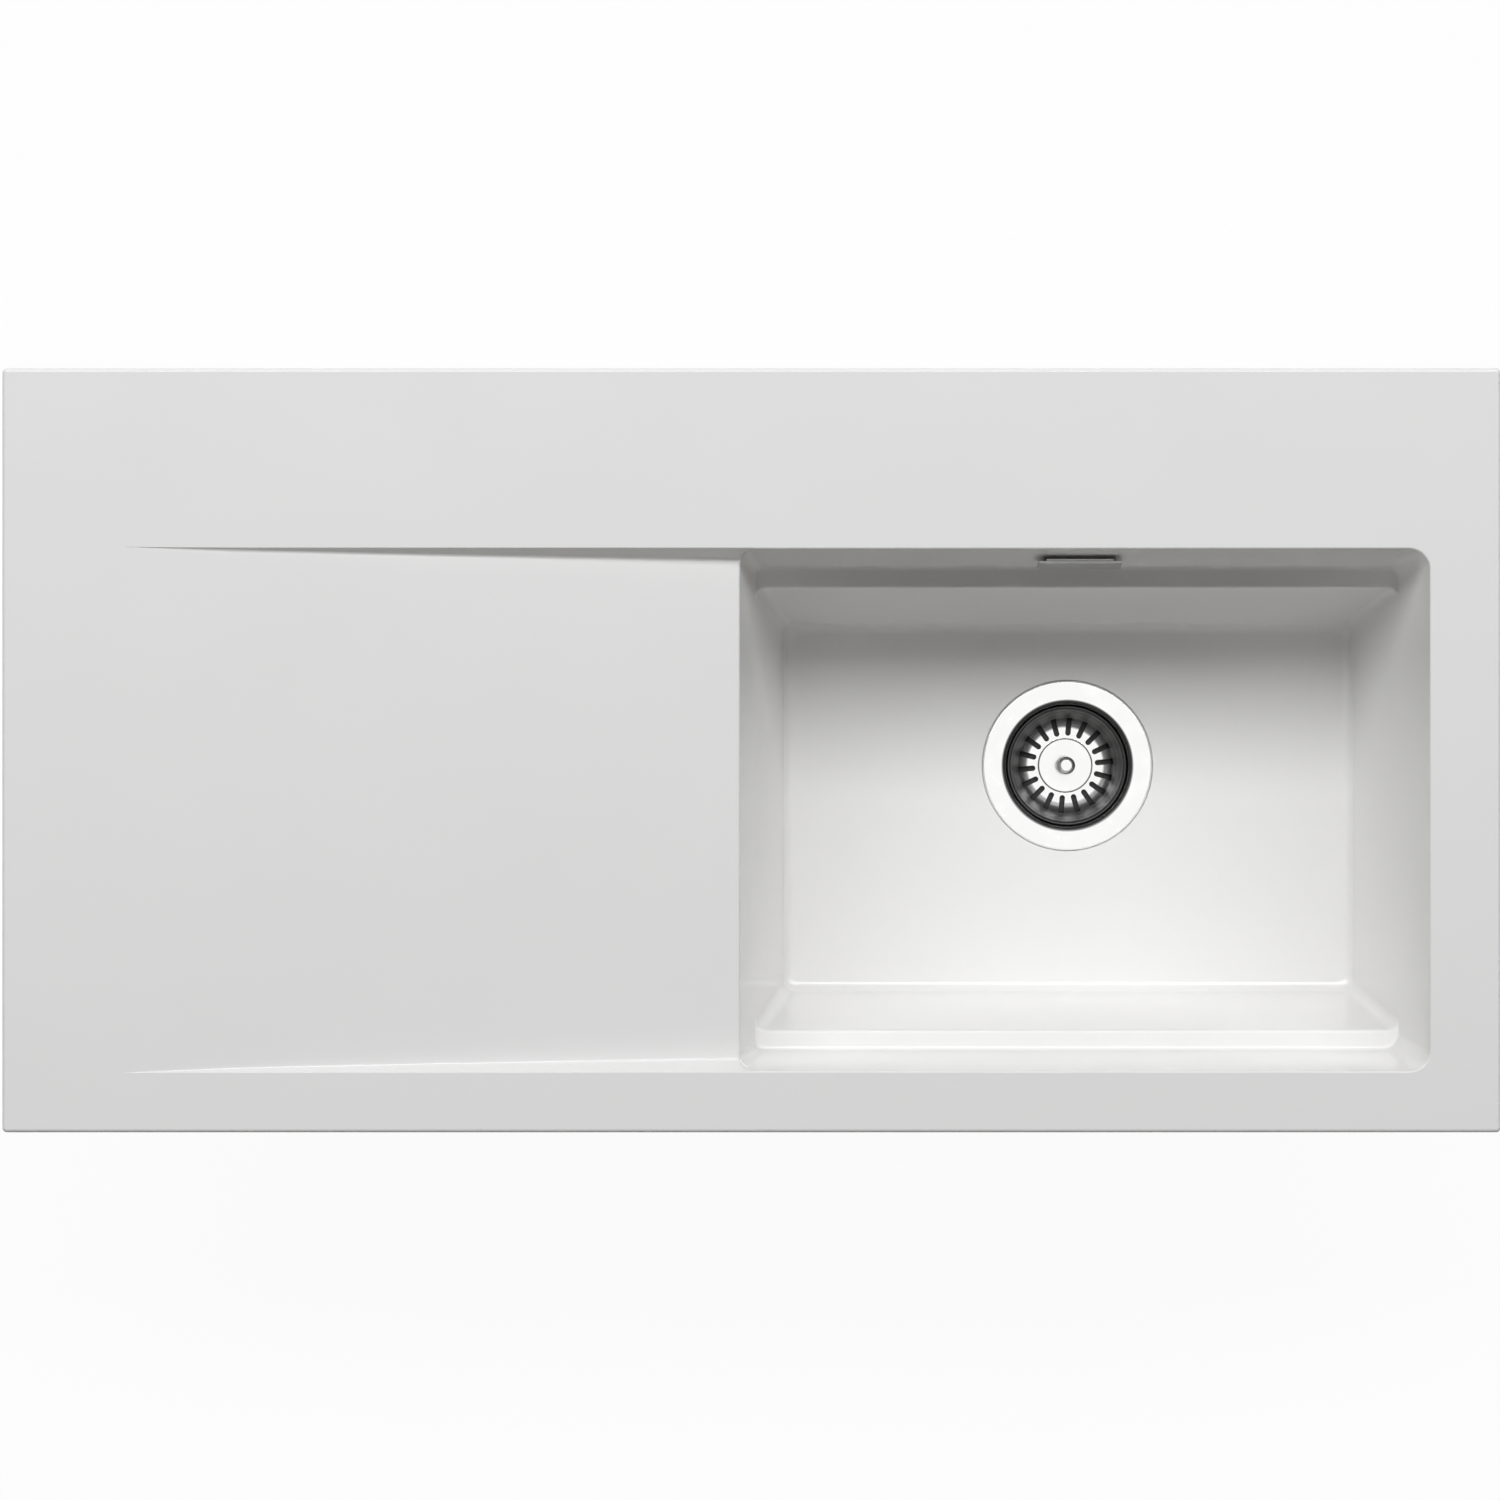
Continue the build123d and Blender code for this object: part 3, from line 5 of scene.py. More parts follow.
import bpy
import numpy as np
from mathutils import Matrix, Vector


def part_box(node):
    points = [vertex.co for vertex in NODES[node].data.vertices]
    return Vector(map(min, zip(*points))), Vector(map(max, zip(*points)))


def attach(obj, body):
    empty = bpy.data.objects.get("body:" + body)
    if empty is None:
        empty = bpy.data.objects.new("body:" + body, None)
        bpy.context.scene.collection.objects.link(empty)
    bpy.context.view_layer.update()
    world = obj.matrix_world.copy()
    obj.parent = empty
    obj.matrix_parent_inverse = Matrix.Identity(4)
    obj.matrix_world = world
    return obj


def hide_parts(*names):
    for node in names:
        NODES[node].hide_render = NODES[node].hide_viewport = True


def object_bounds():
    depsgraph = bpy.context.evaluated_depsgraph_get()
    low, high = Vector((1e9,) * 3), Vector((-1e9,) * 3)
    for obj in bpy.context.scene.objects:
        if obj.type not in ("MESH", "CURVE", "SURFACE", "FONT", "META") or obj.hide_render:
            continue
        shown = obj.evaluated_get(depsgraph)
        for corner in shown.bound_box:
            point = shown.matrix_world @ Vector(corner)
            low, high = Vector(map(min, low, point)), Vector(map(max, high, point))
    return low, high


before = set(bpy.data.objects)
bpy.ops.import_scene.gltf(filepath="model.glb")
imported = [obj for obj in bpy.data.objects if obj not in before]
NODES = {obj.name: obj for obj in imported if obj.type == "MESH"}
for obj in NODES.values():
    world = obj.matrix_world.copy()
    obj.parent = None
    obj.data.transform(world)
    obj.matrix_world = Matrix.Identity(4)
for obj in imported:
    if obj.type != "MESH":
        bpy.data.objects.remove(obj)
CAD_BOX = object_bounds()

bl_info = {
    "name": "Kitchen Sink Dresser",
    "version": (1, 0, 0),
    "blender": (4, 5, 0),
    "location": "3D View > Sidebar > Sink",
    "description": "Gives a kitchen sink its glaze, steel, plastic and rubber, and sets a studio round it",
    "category": "Object",
}


def middle(node):
    """The middle of a node's box."""
    low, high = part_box(node)
    return (Vector(low) + Vector(high)) / 2


# The glaze covers all above the worktop's plane. Below it the glaze covers what faces up by at least this
# share, and what lies in the bowl's plan and faces a point in the bowl's mouth. Places are in metres.
SEAT_LEVEL = -0.0002
GLAZED_UPWARD = 0.2
BOWL_PLAN = ((-0.012, -0.2185), (0.458, 0.1385))
BOWL_EYE = Vector((0.223, -0.040, 0.060))

# The strainer's axis, and the flange's radius.
DRAIN = middle("strainer_cup")
STRAINER_RADIUS = float(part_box("strainer_cup")[1][0]) - DRAIN.x

# Painted reflection and shade on the strainer's steel: how bright its colour is painted at each distance from
# its axis, in metres. The steep walls are painted dark where they would mirror the dark inside of the drain,
# and the flange, the basket's floor and its raised middle stay bright where they would mirror the sky.
CUP_PAINTED_REFLECTION = (
    # The wall.
    (0.0, 0.2), (0.0422, 0.14), (0.0430, 0.14),
    # The lip's curve, and the flange.
    (0.0436, 0.05), (0.0454, 0.05), (0.0464, 1.0),
)
BASKET_PAINTED_REFLECTION = (
    # The raised middle, and the crease round it.
    (0.0181, 1.0), (0.0184, 0.18), (0.0188, 0.18), (0.0191, 1.0),
    # The floor, and the curve that turns up from it.
    (0.0262, 1.0), (0.0278, 0.16), (0.0310, 0.17),
    # The wall.
    (0.0345, 0.16), (0.0352, 0.10), (0.0358, 0.14), (0.0365, 0.14), (0.0380, 0.09), (0.0388, 0.16),
    # The rim.
    (0.0394, 0.12), (0.0402, 0.03), (0.0407, 0.06), (0.0411, 0.16), (0.0415, 0.06),
)
# Painted reflection on the knob: a dimmer ring round its bright top.
KNOB_PAINTED_REFLECTION = ((0.0, 1.0), (0.0034, 1.0), (0.0040, 0.5), (0.0062, 0.45))

# The bowl's rear wall leans back by this much. The overflow cover is a tray pressed into a front plate this
# thick, and a line of painted shade this wide and this dark runs in the seam between them. The cover grows
# dull, and its colour takes painted shade, over this range of how far it faces up.
WALL_LEAN = math.radians(8.0)
COVER_PLATE = 0.0012
SEAM_SHADE_WIDTH = 0.0008
SEAM_SHADE_DARKNESS = 0.6
COVER_TOP_SHADE_AND_DULL = (0.3, 0.9)

# The marks on drawn metal are this share as wide as they are long.
LINE_SHARE = 0.04

# How much light dust adds to a moulded piece's colour, and the least level that it's worked out from.
DUST_LIFT = 0.06
DUST_BASE = 0.1

# How far two faces may turn from each other and still be shaded as one surface. Two corners are one place
# when they are this near, in metres. Two faces are one plane when their normals and their distances from
# the origin agree to one step. The last value only keeps sums away from zero.
SMOOTH_ANGLE = math.radians(34)
SAME_PLACE = 1e-6
NORMAL_STEPS = 500
OFFSET_STEPS = 20000
TINY = 1e-12

# How finely the hose is cut: steps in a rib, along the bore and round the hose. A fuller rib is rounder.
RIB_STEPS = 10
BORE_STEPS = 40
HOSE_SIDES = 56
RIB_FULLNESS = 1.8

# The hose's ends: how rounded the collar is, as a share of its thickness, where the fillet beside it starts
# and ends and how far it stands up, and how far before the first rib the plain cuff ends, in metres.
COLLAR_ROUNDING = 0.2
FILLET_START = 0.0001
FILLET_END = 0.0008
FILLET_RISE = 0.0004
CUFF_RUN_OUT = 0.0006

# The studio, in metres: the sink's lowest level, half the floor's side, the floor's gap below the sink, and
# the point of the worktop's plane that the camera stands over.
LOWEST = CAD_BOX[0][2]
FLOOR_HALF = 6.0
FLOOR_GAP = 0.0005
CAMERA_PLAN = (-0.001, 0.0002)

# The floor is this share plain white to the camera, and the rest takes the sink's shadow.
FLOOR_WHITENESS = 0.95
FLOOR_COLOUR = (0.9, 0.9, 0.9, 1.0)
WHITE = (1.0, 1.0, 1.0, 1.0)


class Value:
    """A shader socket that Python can do sums with. Each sum adds a Math node."""

    def __init__(self, graph, socket):
        self.graph = graph
        self.socket = socket

    def maths(self, operation, *values):
        """A Math node on some values."""
        return self.graph.node("ShaderNodeMath", {"operation": operation}, dict(enumerate(values)))

    def __add__(self, other):
        return self.maths("ADD", self, other)

    def __radd__(self, other):
        return self.maths("ADD", other, self)

    def __sub__(self, other):
        return self.maths("SUBTRACT", self, other)

    def __rsub__(self, other):
        return self.maths("SUBTRACT", other, self)

    def __mul__(self, other):
        return self.maths("MULTIPLY", self, other)

    def __rmul__(self, other):
        return self.maths("MULTIPLY", other, self)

    def __truediv__(self, other):
        return self.maths("DIVIDE", self, other)

    def root(self):
        return self.maths("SQRT", self)

    def __gt__(self, other):
        return self.maths("GREATER_THAN", self, other)

    def __lt__(self, other):
        return self.maths("LESS_THAN", self, other)


class Graph:
    """The nodes of one material or of the world."""

    def __init__(self, tree):
        self.tree = tree
        self.tree.nodes.clear()

    def node(self, kind, settings=None, inputs=None, output=0):
        """Adds a node: its settings first, then its sockets' values or links. Gives back one output."""
        made = self.tree.nodes.new(kind)
        for name, value in (settings or {}).items():
            if name == "stops":
                self.set_stops(made.color_ramp, value)
            else:
                setattr(made, name, value)
        for key, value in (inputs or {}).items():
            if isinstance(value, Value):
                self.tree.links.new(value.socket, made.inputs[key])
            else:
                made.inputs[key].default_value = value
        return Value(self, made.outputs[output]) if made.outputs else None

    @staticmethod
    def set_stops(ramp, stops):
        """Gives a colour ramp its stops, each a place and a grey level."""
        while len(ramp.elements) < len(stops):
            ramp.elements.new(1.0)
        for element, (place, level) in zip(ramp.elements, stops):
            element.position = place
            element.color = (level, level, level, 1.0)

    def place(self):
        """The point on the piece, in the piece's own space."""
        return self.node("ShaderNodeTexCoord", output="Object")

    def split(self, vector):
        """The three numbers of a vector."""
        made = self.tree.nodes.new("ShaderNodeSeparateXYZ")
        self.tree.links.new(vector.socket, made.inputs[0])
        return [Value(self, socket) for socket in made.outputs]

    def vector(self, x, y, z):
        """A vector from three numbers."""
        return self.node("ShaderNodeCombineXYZ", None, {0: x, 1: y, 2: z})

    def noise(self, vector, scale, detail=3.0, roughness=0.5):
        """Soft noise from 0 to 1."""
        inputs = {"Vector": vector, "Scale": scale, "Detail": detail, "Roughness": roughness}
        return self.node("ShaderNodeTexNoise", None, inputs)

    def spread(self, value, low, high, new_low=0.0, new_high=1.0):
        """Maps a value from one range to another, and stops at the ends."""
        inputs = {"Value": value, "From Min": low, "From Max": high, "To Min": new_low, "To Max": new_high}
        return self.node("ShaderNodeMapRange", {"interpolation_type": "SMOOTHSTEP"}, inputs)

    def blend(self, factor, first, second):
        """A colour between two colours."""
        inputs = {0: factor, 6: first, 7: second}
        return self.node("ShaderNodeMix", {"data_type": "RGBA"}, inputs, output=2)

    def dim(self, colour, level):
        """A colour multiplied by another."""
        inputs = {0: 1.0, 6: colour, 7: level}
        return self.node("ShaderNodeMix", {"data_type": "RGBA", "blend_type": "MULTIPLY"}, inputs, output=2)

    def bump(self, height, strength, distance):
        """A normal from a height. The distance is in metres."""
        inputs = {"Height": height, "Strength": strength, "Distance": distance}
        return self.node("ShaderNodeBump", None, inputs)

    def surface(self, sockets):
        """Ends the material in a Principled shader with these sockets."""
        shader = self.node("ShaderNodeBsdfPrincipled", None, sockets)
        self.node("ShaderNodeOutputMaterial", None, {"Surface": shader})


def new_graph(name):
    """A new empty material and its graph."""
    material = bpy.data.materials.new(name)
    material.use_nodes = True
    return material, Graph(material.node_tree)


def tint(colour, factor):
    """A colour made lighter or darker, with its alpha."""
    return (*[min(1.0, part * factor) for part in colour[:3]], 1.0)


# ---- Finishes ----
def glaze_material(settings):
    """Fired white glaze: smooth, with a slow waviness and faint mottling."""
    material, g = new_graph("ceramic_glaze")
    place = g.place()
    mottle = g.noise(place, scale=9.0, detail=3.0)
    fine = g.noise(place, scale=420.0, detail=2.0)
    waves = g.noise(place, scale=26.0, detail=2.0)
    colour = g.blend(mottle, tint(settings.glaze_colour, 0.985), tint(settings.glaze_colour, 1.01))
    gloss = g.spread(mottle, 0.3, 0.7, settings.glaze_roughness * 0.85, settings.glaze_roughness * 1.2)
    height = waves * 0.8 + fine * 0.02
    g.surface({
        "Base Color": colour,
        "Roughness": gloss,
        "Specular IOR Level": 0.5,
        "Normal": g.bump(height, strength=0.25, distance=0.0004),
    })
    return material


def bisque_material(settings):
    """The unglazed ceramic underneath: matt, faintly warm and gritty, with wiped streaks of glaze."""
    material, g = new_graph("ceramic_unglazed")
    place = g.place()
    streaks = g.noise(place, scale=14.0, detail=4.0, roughness=0.6)
    grit = g.noise(place, scale=900.0, detail=2.0)
    pits = g.noise(place, scale=160.0, detail=3.0, roughness=0.7)
    colour = g.blend(g.spread(streaks, 0.35, 0.7), settings.bisque_colour, tint(settings.bisque_colour, 1.08))
    height = grit * 0.5 + pits
    g.surface({
        "Base Color": colour,
        "Roughness": g.spread(streaks, 0.4, 0.65, 0.75, 0.55),
        "Normal": g.bump(height, strength=0.5, distance=0.0003),
    })
    return material


def turned_steel_material(name, colour, roughness, painted_reflection_levels, brushing=1.0):
    """Steel with fine rings round the drain's axis, smudges and a few water spots.

    Each level is a distance from that axis and how bright the steel's colour is painted there, as painted
    reflection and shade. Where it's painted dark, it's duller.
    """
    material, g = new_graph(name)
    place = g.place()
    x, y, z = g.split(place)
    across = x - DRAIN.x
    along = y - DRAIN.y
    radius = (across * across + along * along).root()
    rings = g.noise(g.vector(radius, 0.0, z), scale=2600.0, detail=2.0)
    smudge = g.noise(place, scale=55.0, detail=3.0, roughness=0.6)
    spots = g.noise(place, scale=190.0, detail=1.0)
    stops = [(distance / STRAINER_RADIUS, level) for distance, level in painted_reflection_levels]
    # Painted reflection and shade: the colour is dimmed by distance from the drain's axis.
    level = g.node("ShaderNodeValToRGB", {"stops": stops}, {"Fac": radius / STRAINER_RADIUS})
    smudged = g.spread(smudge, 0.35, 0.75, roughness * 0.8, roughness * 1.5)
    spotted = g.spread(spots, 0.68, 0.75, 0.0, 0.12)
    dulled = g.spread(level, 0.05, 0.6, 0.3, 0.0)
    g.surface({
        "Base Color": g.dim(g.blend(smudge, colour, tint(colour, 0.96)), level),
        "Metallic": 1.0,
        "Roughness": smudged + spotted + dulled,
        "Normal": g.bump(rings, strength=0.12 * brushing, distance=0.0001),
    })
    return material


def drawn_marks(g, place):
    """The normal of the fine lines that drawing leaves along metal, and soft smudges."""
    x, y, z = g.split(place)
    lines = g.noise(g.vector(x * LINE_SHARE, y, z), scale=3000.0, detail=2.0)
    smudge = g.noise(place, scale=70.0, detail=3.0, roughness=0.6)
    return g.bump(lines, strength=0.15, distance=0.0001), smudge


def steel_material(name, colour, roughness):
    """Plain drawn or machined metal."""
    material, g = new_graph(name)
    lines, smudge = drawn_marks(g, g.place())
    g.surface({
        "Base Color": g.blend(smudge, colour, tint(colour, 0.9)),
        "Metallic": 1.0,
        "Roughness": g.spread(smudge, 0.3, 0.75, roughness * 0.8, roughness * 1.4),
        "Normal": lines,
    })
    return material


def cover_material(settings):
    """Polished steel that is dull on top and painted darker on top as painted shade, with painted shade in
    the seam between the cover's tray and its plate.
    """
    material, g = new_graph("cover_steel")
    place = g.place()
    lines, smudge = drawn_marks(g, place)
    out = Vector((0.0, -math.cos(WALL_LEAN), math.sin(WALL_LEAN)))
    front = max(out.dot(vertex.co) for vertex in NODES["overflow_cover"].data.vertices)
    _, y, z = g.split(place)
    behind = front - (y * out.y + z * out.z)
    # Painted shade: a thin dark line where the tray meets the plate.
    seam_shade = (behind > COVER_PLATE) * (behind < COVER_PLATE + SEAM_SHADE_WIDTH)
    upward = g.split(g.node("ShaderNodeNewGeometry", output="True Normal"))[2]
    # Painted shade: the colour darkens on top, where the cover faces up.
    level = g.spread(upward, *COVER_TOP_SHADE_AND_DULL, 1.0, settings.cover_top_painted_shade) * (1 - seam_shade * SEAM_SHADE_DARKNESS)
    steel = g.blend(smudge, settings.cover_colour, tint(settings.cover_colour, 0.9))
    g.surface({
        "Base Color": g.dim(steel, level),
        "Metallic": 1.0,
        "Roughness": g.spread(smudge, 0.3, 0.75, 0.12, 0.2) + g.spread(upward, *COVER_TOP_SHADE_AND_DULL, 0.0, 0.2),
        "Normal": lines,
    })
    return material


def moulded_material(name, colour, roughness):
    """Moulded plastic or rubber, with a fine grain, slow shrink marks and light dust."""
    material, g = new_graph(name)
    place = g.place()
    grain = g.noise(place, scale=1500.0, detail=2.0)
    shrink = g.noise(place, scale=45.0, detail=2.0)
    dust = g.noise(place, scale=18.0, detail=4.0, roughness=0.65)
    dusty = tint(colour, 1.0 + DUST_LIFT / max(DUST_BASE, colour[0]))
    height = grain * 0.3 + shrink
    g.surface({
        "Base Color": g.blend(g.spread(dust, 0.4, 0.7), colour, dusty),
        "Roughness": g.spread(dust, 0.3, 0.7, roughness, roughness * 1.25),
        "Normal": g.bump(height, strength=0.3, distance=0.00025),
    })
    return material


# ---- Shading of the modelled solids ----
def read(elements, name, kind=np.float64, width=1):
    """One property of all the vertices, corners or faces of a mesh, a row for each."""
    values = np.empty(len(elements) * width, kind)
    elements.foreach_get(name, values)
    return values.reshape(-1, width) if width > 1 else values


def face_weights(mesh, normals):
    """How much each face counts in the shading: by the area of all the faces in its plane."""
    offsets = np.einsum("ij,ij->i", normals, read(mesh.polygons, "center", width=3))
    planes = np.column_stack([np.round(normals * NORMAL_STEPS), np.round(offsets * OFFSET_STEPS)])
    _, plane_of = np.unique(planes.astype(np.int64), axis=0, return_inverse=True)
    plane_of = plane_of.ravel()
    return np.bincount(plane_of, read(mesh.polygons, "area"))[plane_of] + TINY


def corner_places(mesh):
    """A number for each corner of each face. Corners in the same place have the same number."""
    places = np.round(read(mesh.vertices, "co", width=3) / SAME_PLACE).astype(np.int64)
    _, place_of = np.unique(places, axis=0, return_inverse=True)
    return place_of.ravel()[read(mesh.loops, "vertex_index", np.int64)]


def corner_normals(mesh):
    """Normals that shade each rounded stretch as one surface and leave true edges crisp.

    A flat face counts by the area of its whole plane, so that it stays flat up to its rounded edge.
    """
    normals = read(mesh.polygons, "normal", width=3)
    weights = face_weights(mesh, normals)
    face_of = np.repeat(np.arange(len(normals)), read(mesh.polygons, "loop_total", np.int64))
    places = corner_places(mesh)
    order = np.argsort(places, kind="stable")
    starts = np.flatnonzero(np.diff(places[order], prepend=-1))
    ends = np.append(starts[1:], len(order))
    result = np.empty((len(order), 3))
    least = math.cos(SMOOTH_ANGLE)
    for start, end in zip(starts, ends):
        corners = order[start:end]
        faces = face_of[corners]
        near = normals[faces]
        close = (near @ near.T) > least
        result[corners] = (close * weights[faces]) @ near
    lengths = np.linalg.norm(result, axis=1, keepdims=True)
    return result / np.maximum(lengths, TINY)


def shade(node):
    """Shades a node's roundings smoothly."""
    mesh = NODES[node].data
    mesh.polygons.foreach_set("use_smooth", [True] * len(mesh.polygons))
    mesh.normals_split_custom_set(corner_normals(mesh).tolist())


def finish(node, *materials):
    """Puts materials on a node and shades it."""
    mesh = NODES[node].data
    mesh.materials.clear()
    for material in materials:
        mesh.materials.append(material)
    shade(node)


def is_under(face):
    """Whether a face of the ceramic is on its outside or underside, which takes no glaze."""
    centre = face.center
    if centre.z > SEAT_LEVEL or face.normal.z > GLAZED_UPWARD:
        return False
    (left, front), (right, rear) = BOWL_PLAN
    inside = left < centre.x < right and front < centre.y < rear
    return not (inside and face.normal.dot(BOWL_EYE - centre) > 0)


# ---- The overflow hose ----
class HoseLine:
    """The hose's centre line: down from the overflow, round one bend and forward to the waste."""

    def __init__(self, bend):
        low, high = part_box("overflow_hose")
        upper = middle("upper_hose_seal")
        self.top = Vector((upper.x, upper.y, high[2]))
        self.bend = bend
        self.drop = self.top.z - middle("lower_hose_seal").z - bend
        self.turn = bend * math.pi / 2
        run = self.top.y - bend - low[1]
        self.length = self.drop + self.turn + run

    def ring(self, along, radius, count):
        """The corners of a ring across the line, at a distance along it."""
        angle = min(max(along - self.drop, 0.0), self.turn) / self.bend
        down = min(along, self.drop)
        forward = max(along - self.drop - self.turn, 0.0)
        y = self.top.y - self.bend * (1 - math.cos(angle)) - forward
        z = self.top.z - down - self.bend * math.sin(angle)
        out = Vector((0.0, math.cos(angle), -math.sin(angle)))
        side = Vector((1.0, 0.0, 0.0))
        centre = Vector((self.top.x, y, z))
        turns = [2 * math.pi * k / count for k in range(count)]
        return [centre + radius * (side * math.cos(t) + out * math.sin(t)) for t in turns]


def hose_profile(length, settings):
    """The hose's cut: distance along it and radius, down the outside and back up the bore."""
    collar = settings.hose_collar
    cuff = settings.hose_cuff
    rounding = collar * COLLAR_ROUNDING
    start = [
        (0.0, settings.hose_collar_radius - rounding),
        (rounding, settings.hose_collar_radius),
        (collar - rounding, settings.hose_collar_radius),
        (collar, settings.hose_collar_radius - rounding),
        (collar + FILLET_START, settings.hose_cuff_radius + FILLET_RISE),
        (collar + FILLET_END, settings.hose_cuff_radius),
        (cuff - CUFF_RUN_OUT, settings.hose_cuff_radius),
    ]
    ribbed = length - 2 * cuff
    count = int(ribbed / settings.hose_rib_pitch)
    pitch = ribbed / count
    depth = settings.hose_rib_radius - settings.hose_valley_radius
    ribs = []
    for k in range(count):
        for step in range(RIB_STEPS):
            share = step / RIB_STEPS
            swell = 0.5 - 0.5 * math.cos(2 * math.pi * share)
            rise = 1 - (1 - swell) ** RIB_FULLNESS
            ribs.append((cuff + (k + share) * pitch, settings.hose_valley_radius + depth * rise))
    end = [(length - along, radius) for along, radius in reversed(start)]
    bore = [(length, settings.hose_bore_radius)]
    bore += [(length * k / BORE_STEPS, settings.hose_bore_radius) for k in range(BORE_STEPS - 1, -1, -1)]
    return start + ribs + end + bore


def make_hose(settings):
    """The ribbed hose as one closed mesh, shaded smoothly."""
    line = HoseLine(settings.hose_bend)
    profile = hose_profile(line.length, settings)
    points = []
    for along, radius in profile:
        points += line.ring(along, radius, HOSE_SIDES)
    faces = []
    for k in range(len(profile)):
        here = k * HOSE_SIDES
        after = (k + 1) % len(profile) * HOSE_SIDES
        for side in range(HOSE_SIDES):
            beside = (side + 1) % HOSE_SIDES
            faces.append((here + side, after + side, after + beside, here + beside))
    mesh = bpy.data.meshes.new("ribbed_hose")
    mesh.from_pydata(points, [], faces)
    mesh.polygons.foreach_set("use_smooth", [True] * len(faces))
    hose = bpy.data.objects.new("ribbed_hose", mesh)
    bpy.context.scene.collection.objects.link(hose)
    return hose


# ---- Settings ----
class SinkFinishSettings(bpy.types.PropertyGroup):
    """The colours and gloss of the sink's finishes."""

    glaze_colour: bpy.props.FloatVectorProperty(
        name="Glaze", description="Colour of the glaze", subtype="COLOR", size=4,
        default=(0.86, 0.853, 0.836, 1.0), min=0.0, max=1.0,
    )
    glaze_roughness: bpy.props.FloatProperty(
        name="Glaze roughness", description="How blurred the glaze's reflections are", subtype="FACTOR",
        default=0.16, min=0.0, max=1.0,
    )
    bisque_colour: bpy.props.FloatVectorProperty(
        name="Unglazed ceramic", description="Colour of the bare ceramic underneath", subtype="COLOR", size=4,
        default=(0.74, 0.71, 0.66, 1.0), min=0.0, max=1.0,
    )
    steel_colour: bpy.props.FloatVectorProperty(
        name="Strainer steel", description="Colour of the strainer's polished steel", subtype="COLOR", size=4,
        default=(0.95, 0.95, 0.94, 1.0), min=0.0, max=1.0,
    )
    cover_colour: bpy.props.FloatVectorProperty(
        name="Overflow cover", description="Colour of the overflow cover's steel", subtype="COLOR", size=4,
        default=(0.70, 0.70, 0.69, 1.0), min=0.0, max=1.0,
    )
    # Painted shade: how far the colour of the cover's top is dimmed.
    cover_top_painted_shade: bpy.props.FloatProperty(
        name="Overflow cover's top", description="How bright the cover is on top", subtype="FACTOR",
        default=0.6, min=0.0, max=1.0,
    )
    insert_colour: bpy.props.FloatVectorProperty(
        name="Overflow insert", description="Colour of the plastic frame behind the cover", subtype="COLOR",
        size=4, default=(0.16, 0.16, 0.155, 1.0), min=0.0, max=1.0,
    )
    screw_colour: bpy.props.FloatVectorProperty(
        name="Screws", description="Colour of the screws, the washer and the stem", subtype="COLOR", size=4,
        default=(0.60, 0.60, 0.60, 1.0), min=0.0, max=1.0,
    )
    brass_colour: bpy.props.FloatVectorProperty(
        name="Brass", description="Colour of the threaded insert", subtype="COLOR", size=4,
        default=(0.72, 0.55, 0.26, 1.0), min=0.0, max=1.0,
    )
    plastic_colour: bpy.props.FloatVectorProperty(
        name="Waste plastic", description="Colour of the moulded waste parts", subtype="COLOR", size=4,
        default=(0.78, 0.78, 0.77, 1.0), min=0.0, max=1.0,
    )
    hose_colour: bpy.props.FloatVectorProperty(
        name="Hose", description="Colour of the overflow hose", subtype="COLOR", size=4,
        default=(0.62, 0.62, 0.61, 1.0), min=0.0, max=1.0,
    )
    dark_colour: bpy.props.FloatVectorProperty(
        name="Dark plastic", description="Colour of the plug carrier", subtype="COLOR", size=4,
        default=(0.03, 0.03, 0.03, 1.0), min=0.0, max=1.0,
    )
    rubber_colour: bpy.props.FloatVectorProperty(
        name="Rubber", description="Colour of the gaskets and seals", subtype="COLOR", size=4,
        default=(0.02, 0.02, 0.02, 1.0), min=0.0, max=1.0,
    )


class SinkHoseSettings(bpy.types.PropertyGroup):
    """The sizes of the overflow hose."""

    hose_bend: bpy.props.FloatProperty(
        name="Bend", description="Radius of the hose's bend", unit="LENGTH",
        default=0.0707, min=0.02,
    )
    hose_rib_radius: bpy.props.FloatProperty(
        name="Rib radius", description="Radius of the hose over its ribs", unit="LENGTH",
        default=0.012, min=0.005,
    )
    hose_valley_radius: bpy.props.FloatProperty(
        name="Valley radius", description="Radius of the hose between its ribs", unit="LENGTH",
        default=0.0102, min=0.005,
    )
    hose_rib_pitch: bpy.props.FloatProperty(
        name="Rib pitch", description="Distance from one rib to the next", unit="LENGTH",
        default=0.0045, min=0.002,
    )
    hose_bore_radius: bpy.props.FloatProperty(
        name="Bore radius", description="Radius of the hose's bore", unit="LENGTH",
        default=0.008, min=0.004,
    )
    hose_cuff_radius: bpy.props.FloatProperty(
        name="Cuff radius", description="Radius of the plain end of the hose", unit="LENGTH",
        default=0.0098, min=0.004,
    )
    hose_cuff: bpy.props.FloatProperty(
        name="Cuff length", description="Length of the plain end of the hose", unit="LENGTH",
        default=0.024, min=0.0,
    )
    hose_collar_radius: bpy.props.FloatProperty(
        name="Collar radius", description="Radius of the collar that the nut draws up", unit="LENGTH",
        default=0.0122, min=0.005,
    )
    hose_collar: bpy.props.FloatProperty(
        name="Collar thickness", description="Thickness of the collar", unit="LENGTH",
        default=0.0025, min=0.001,
    )


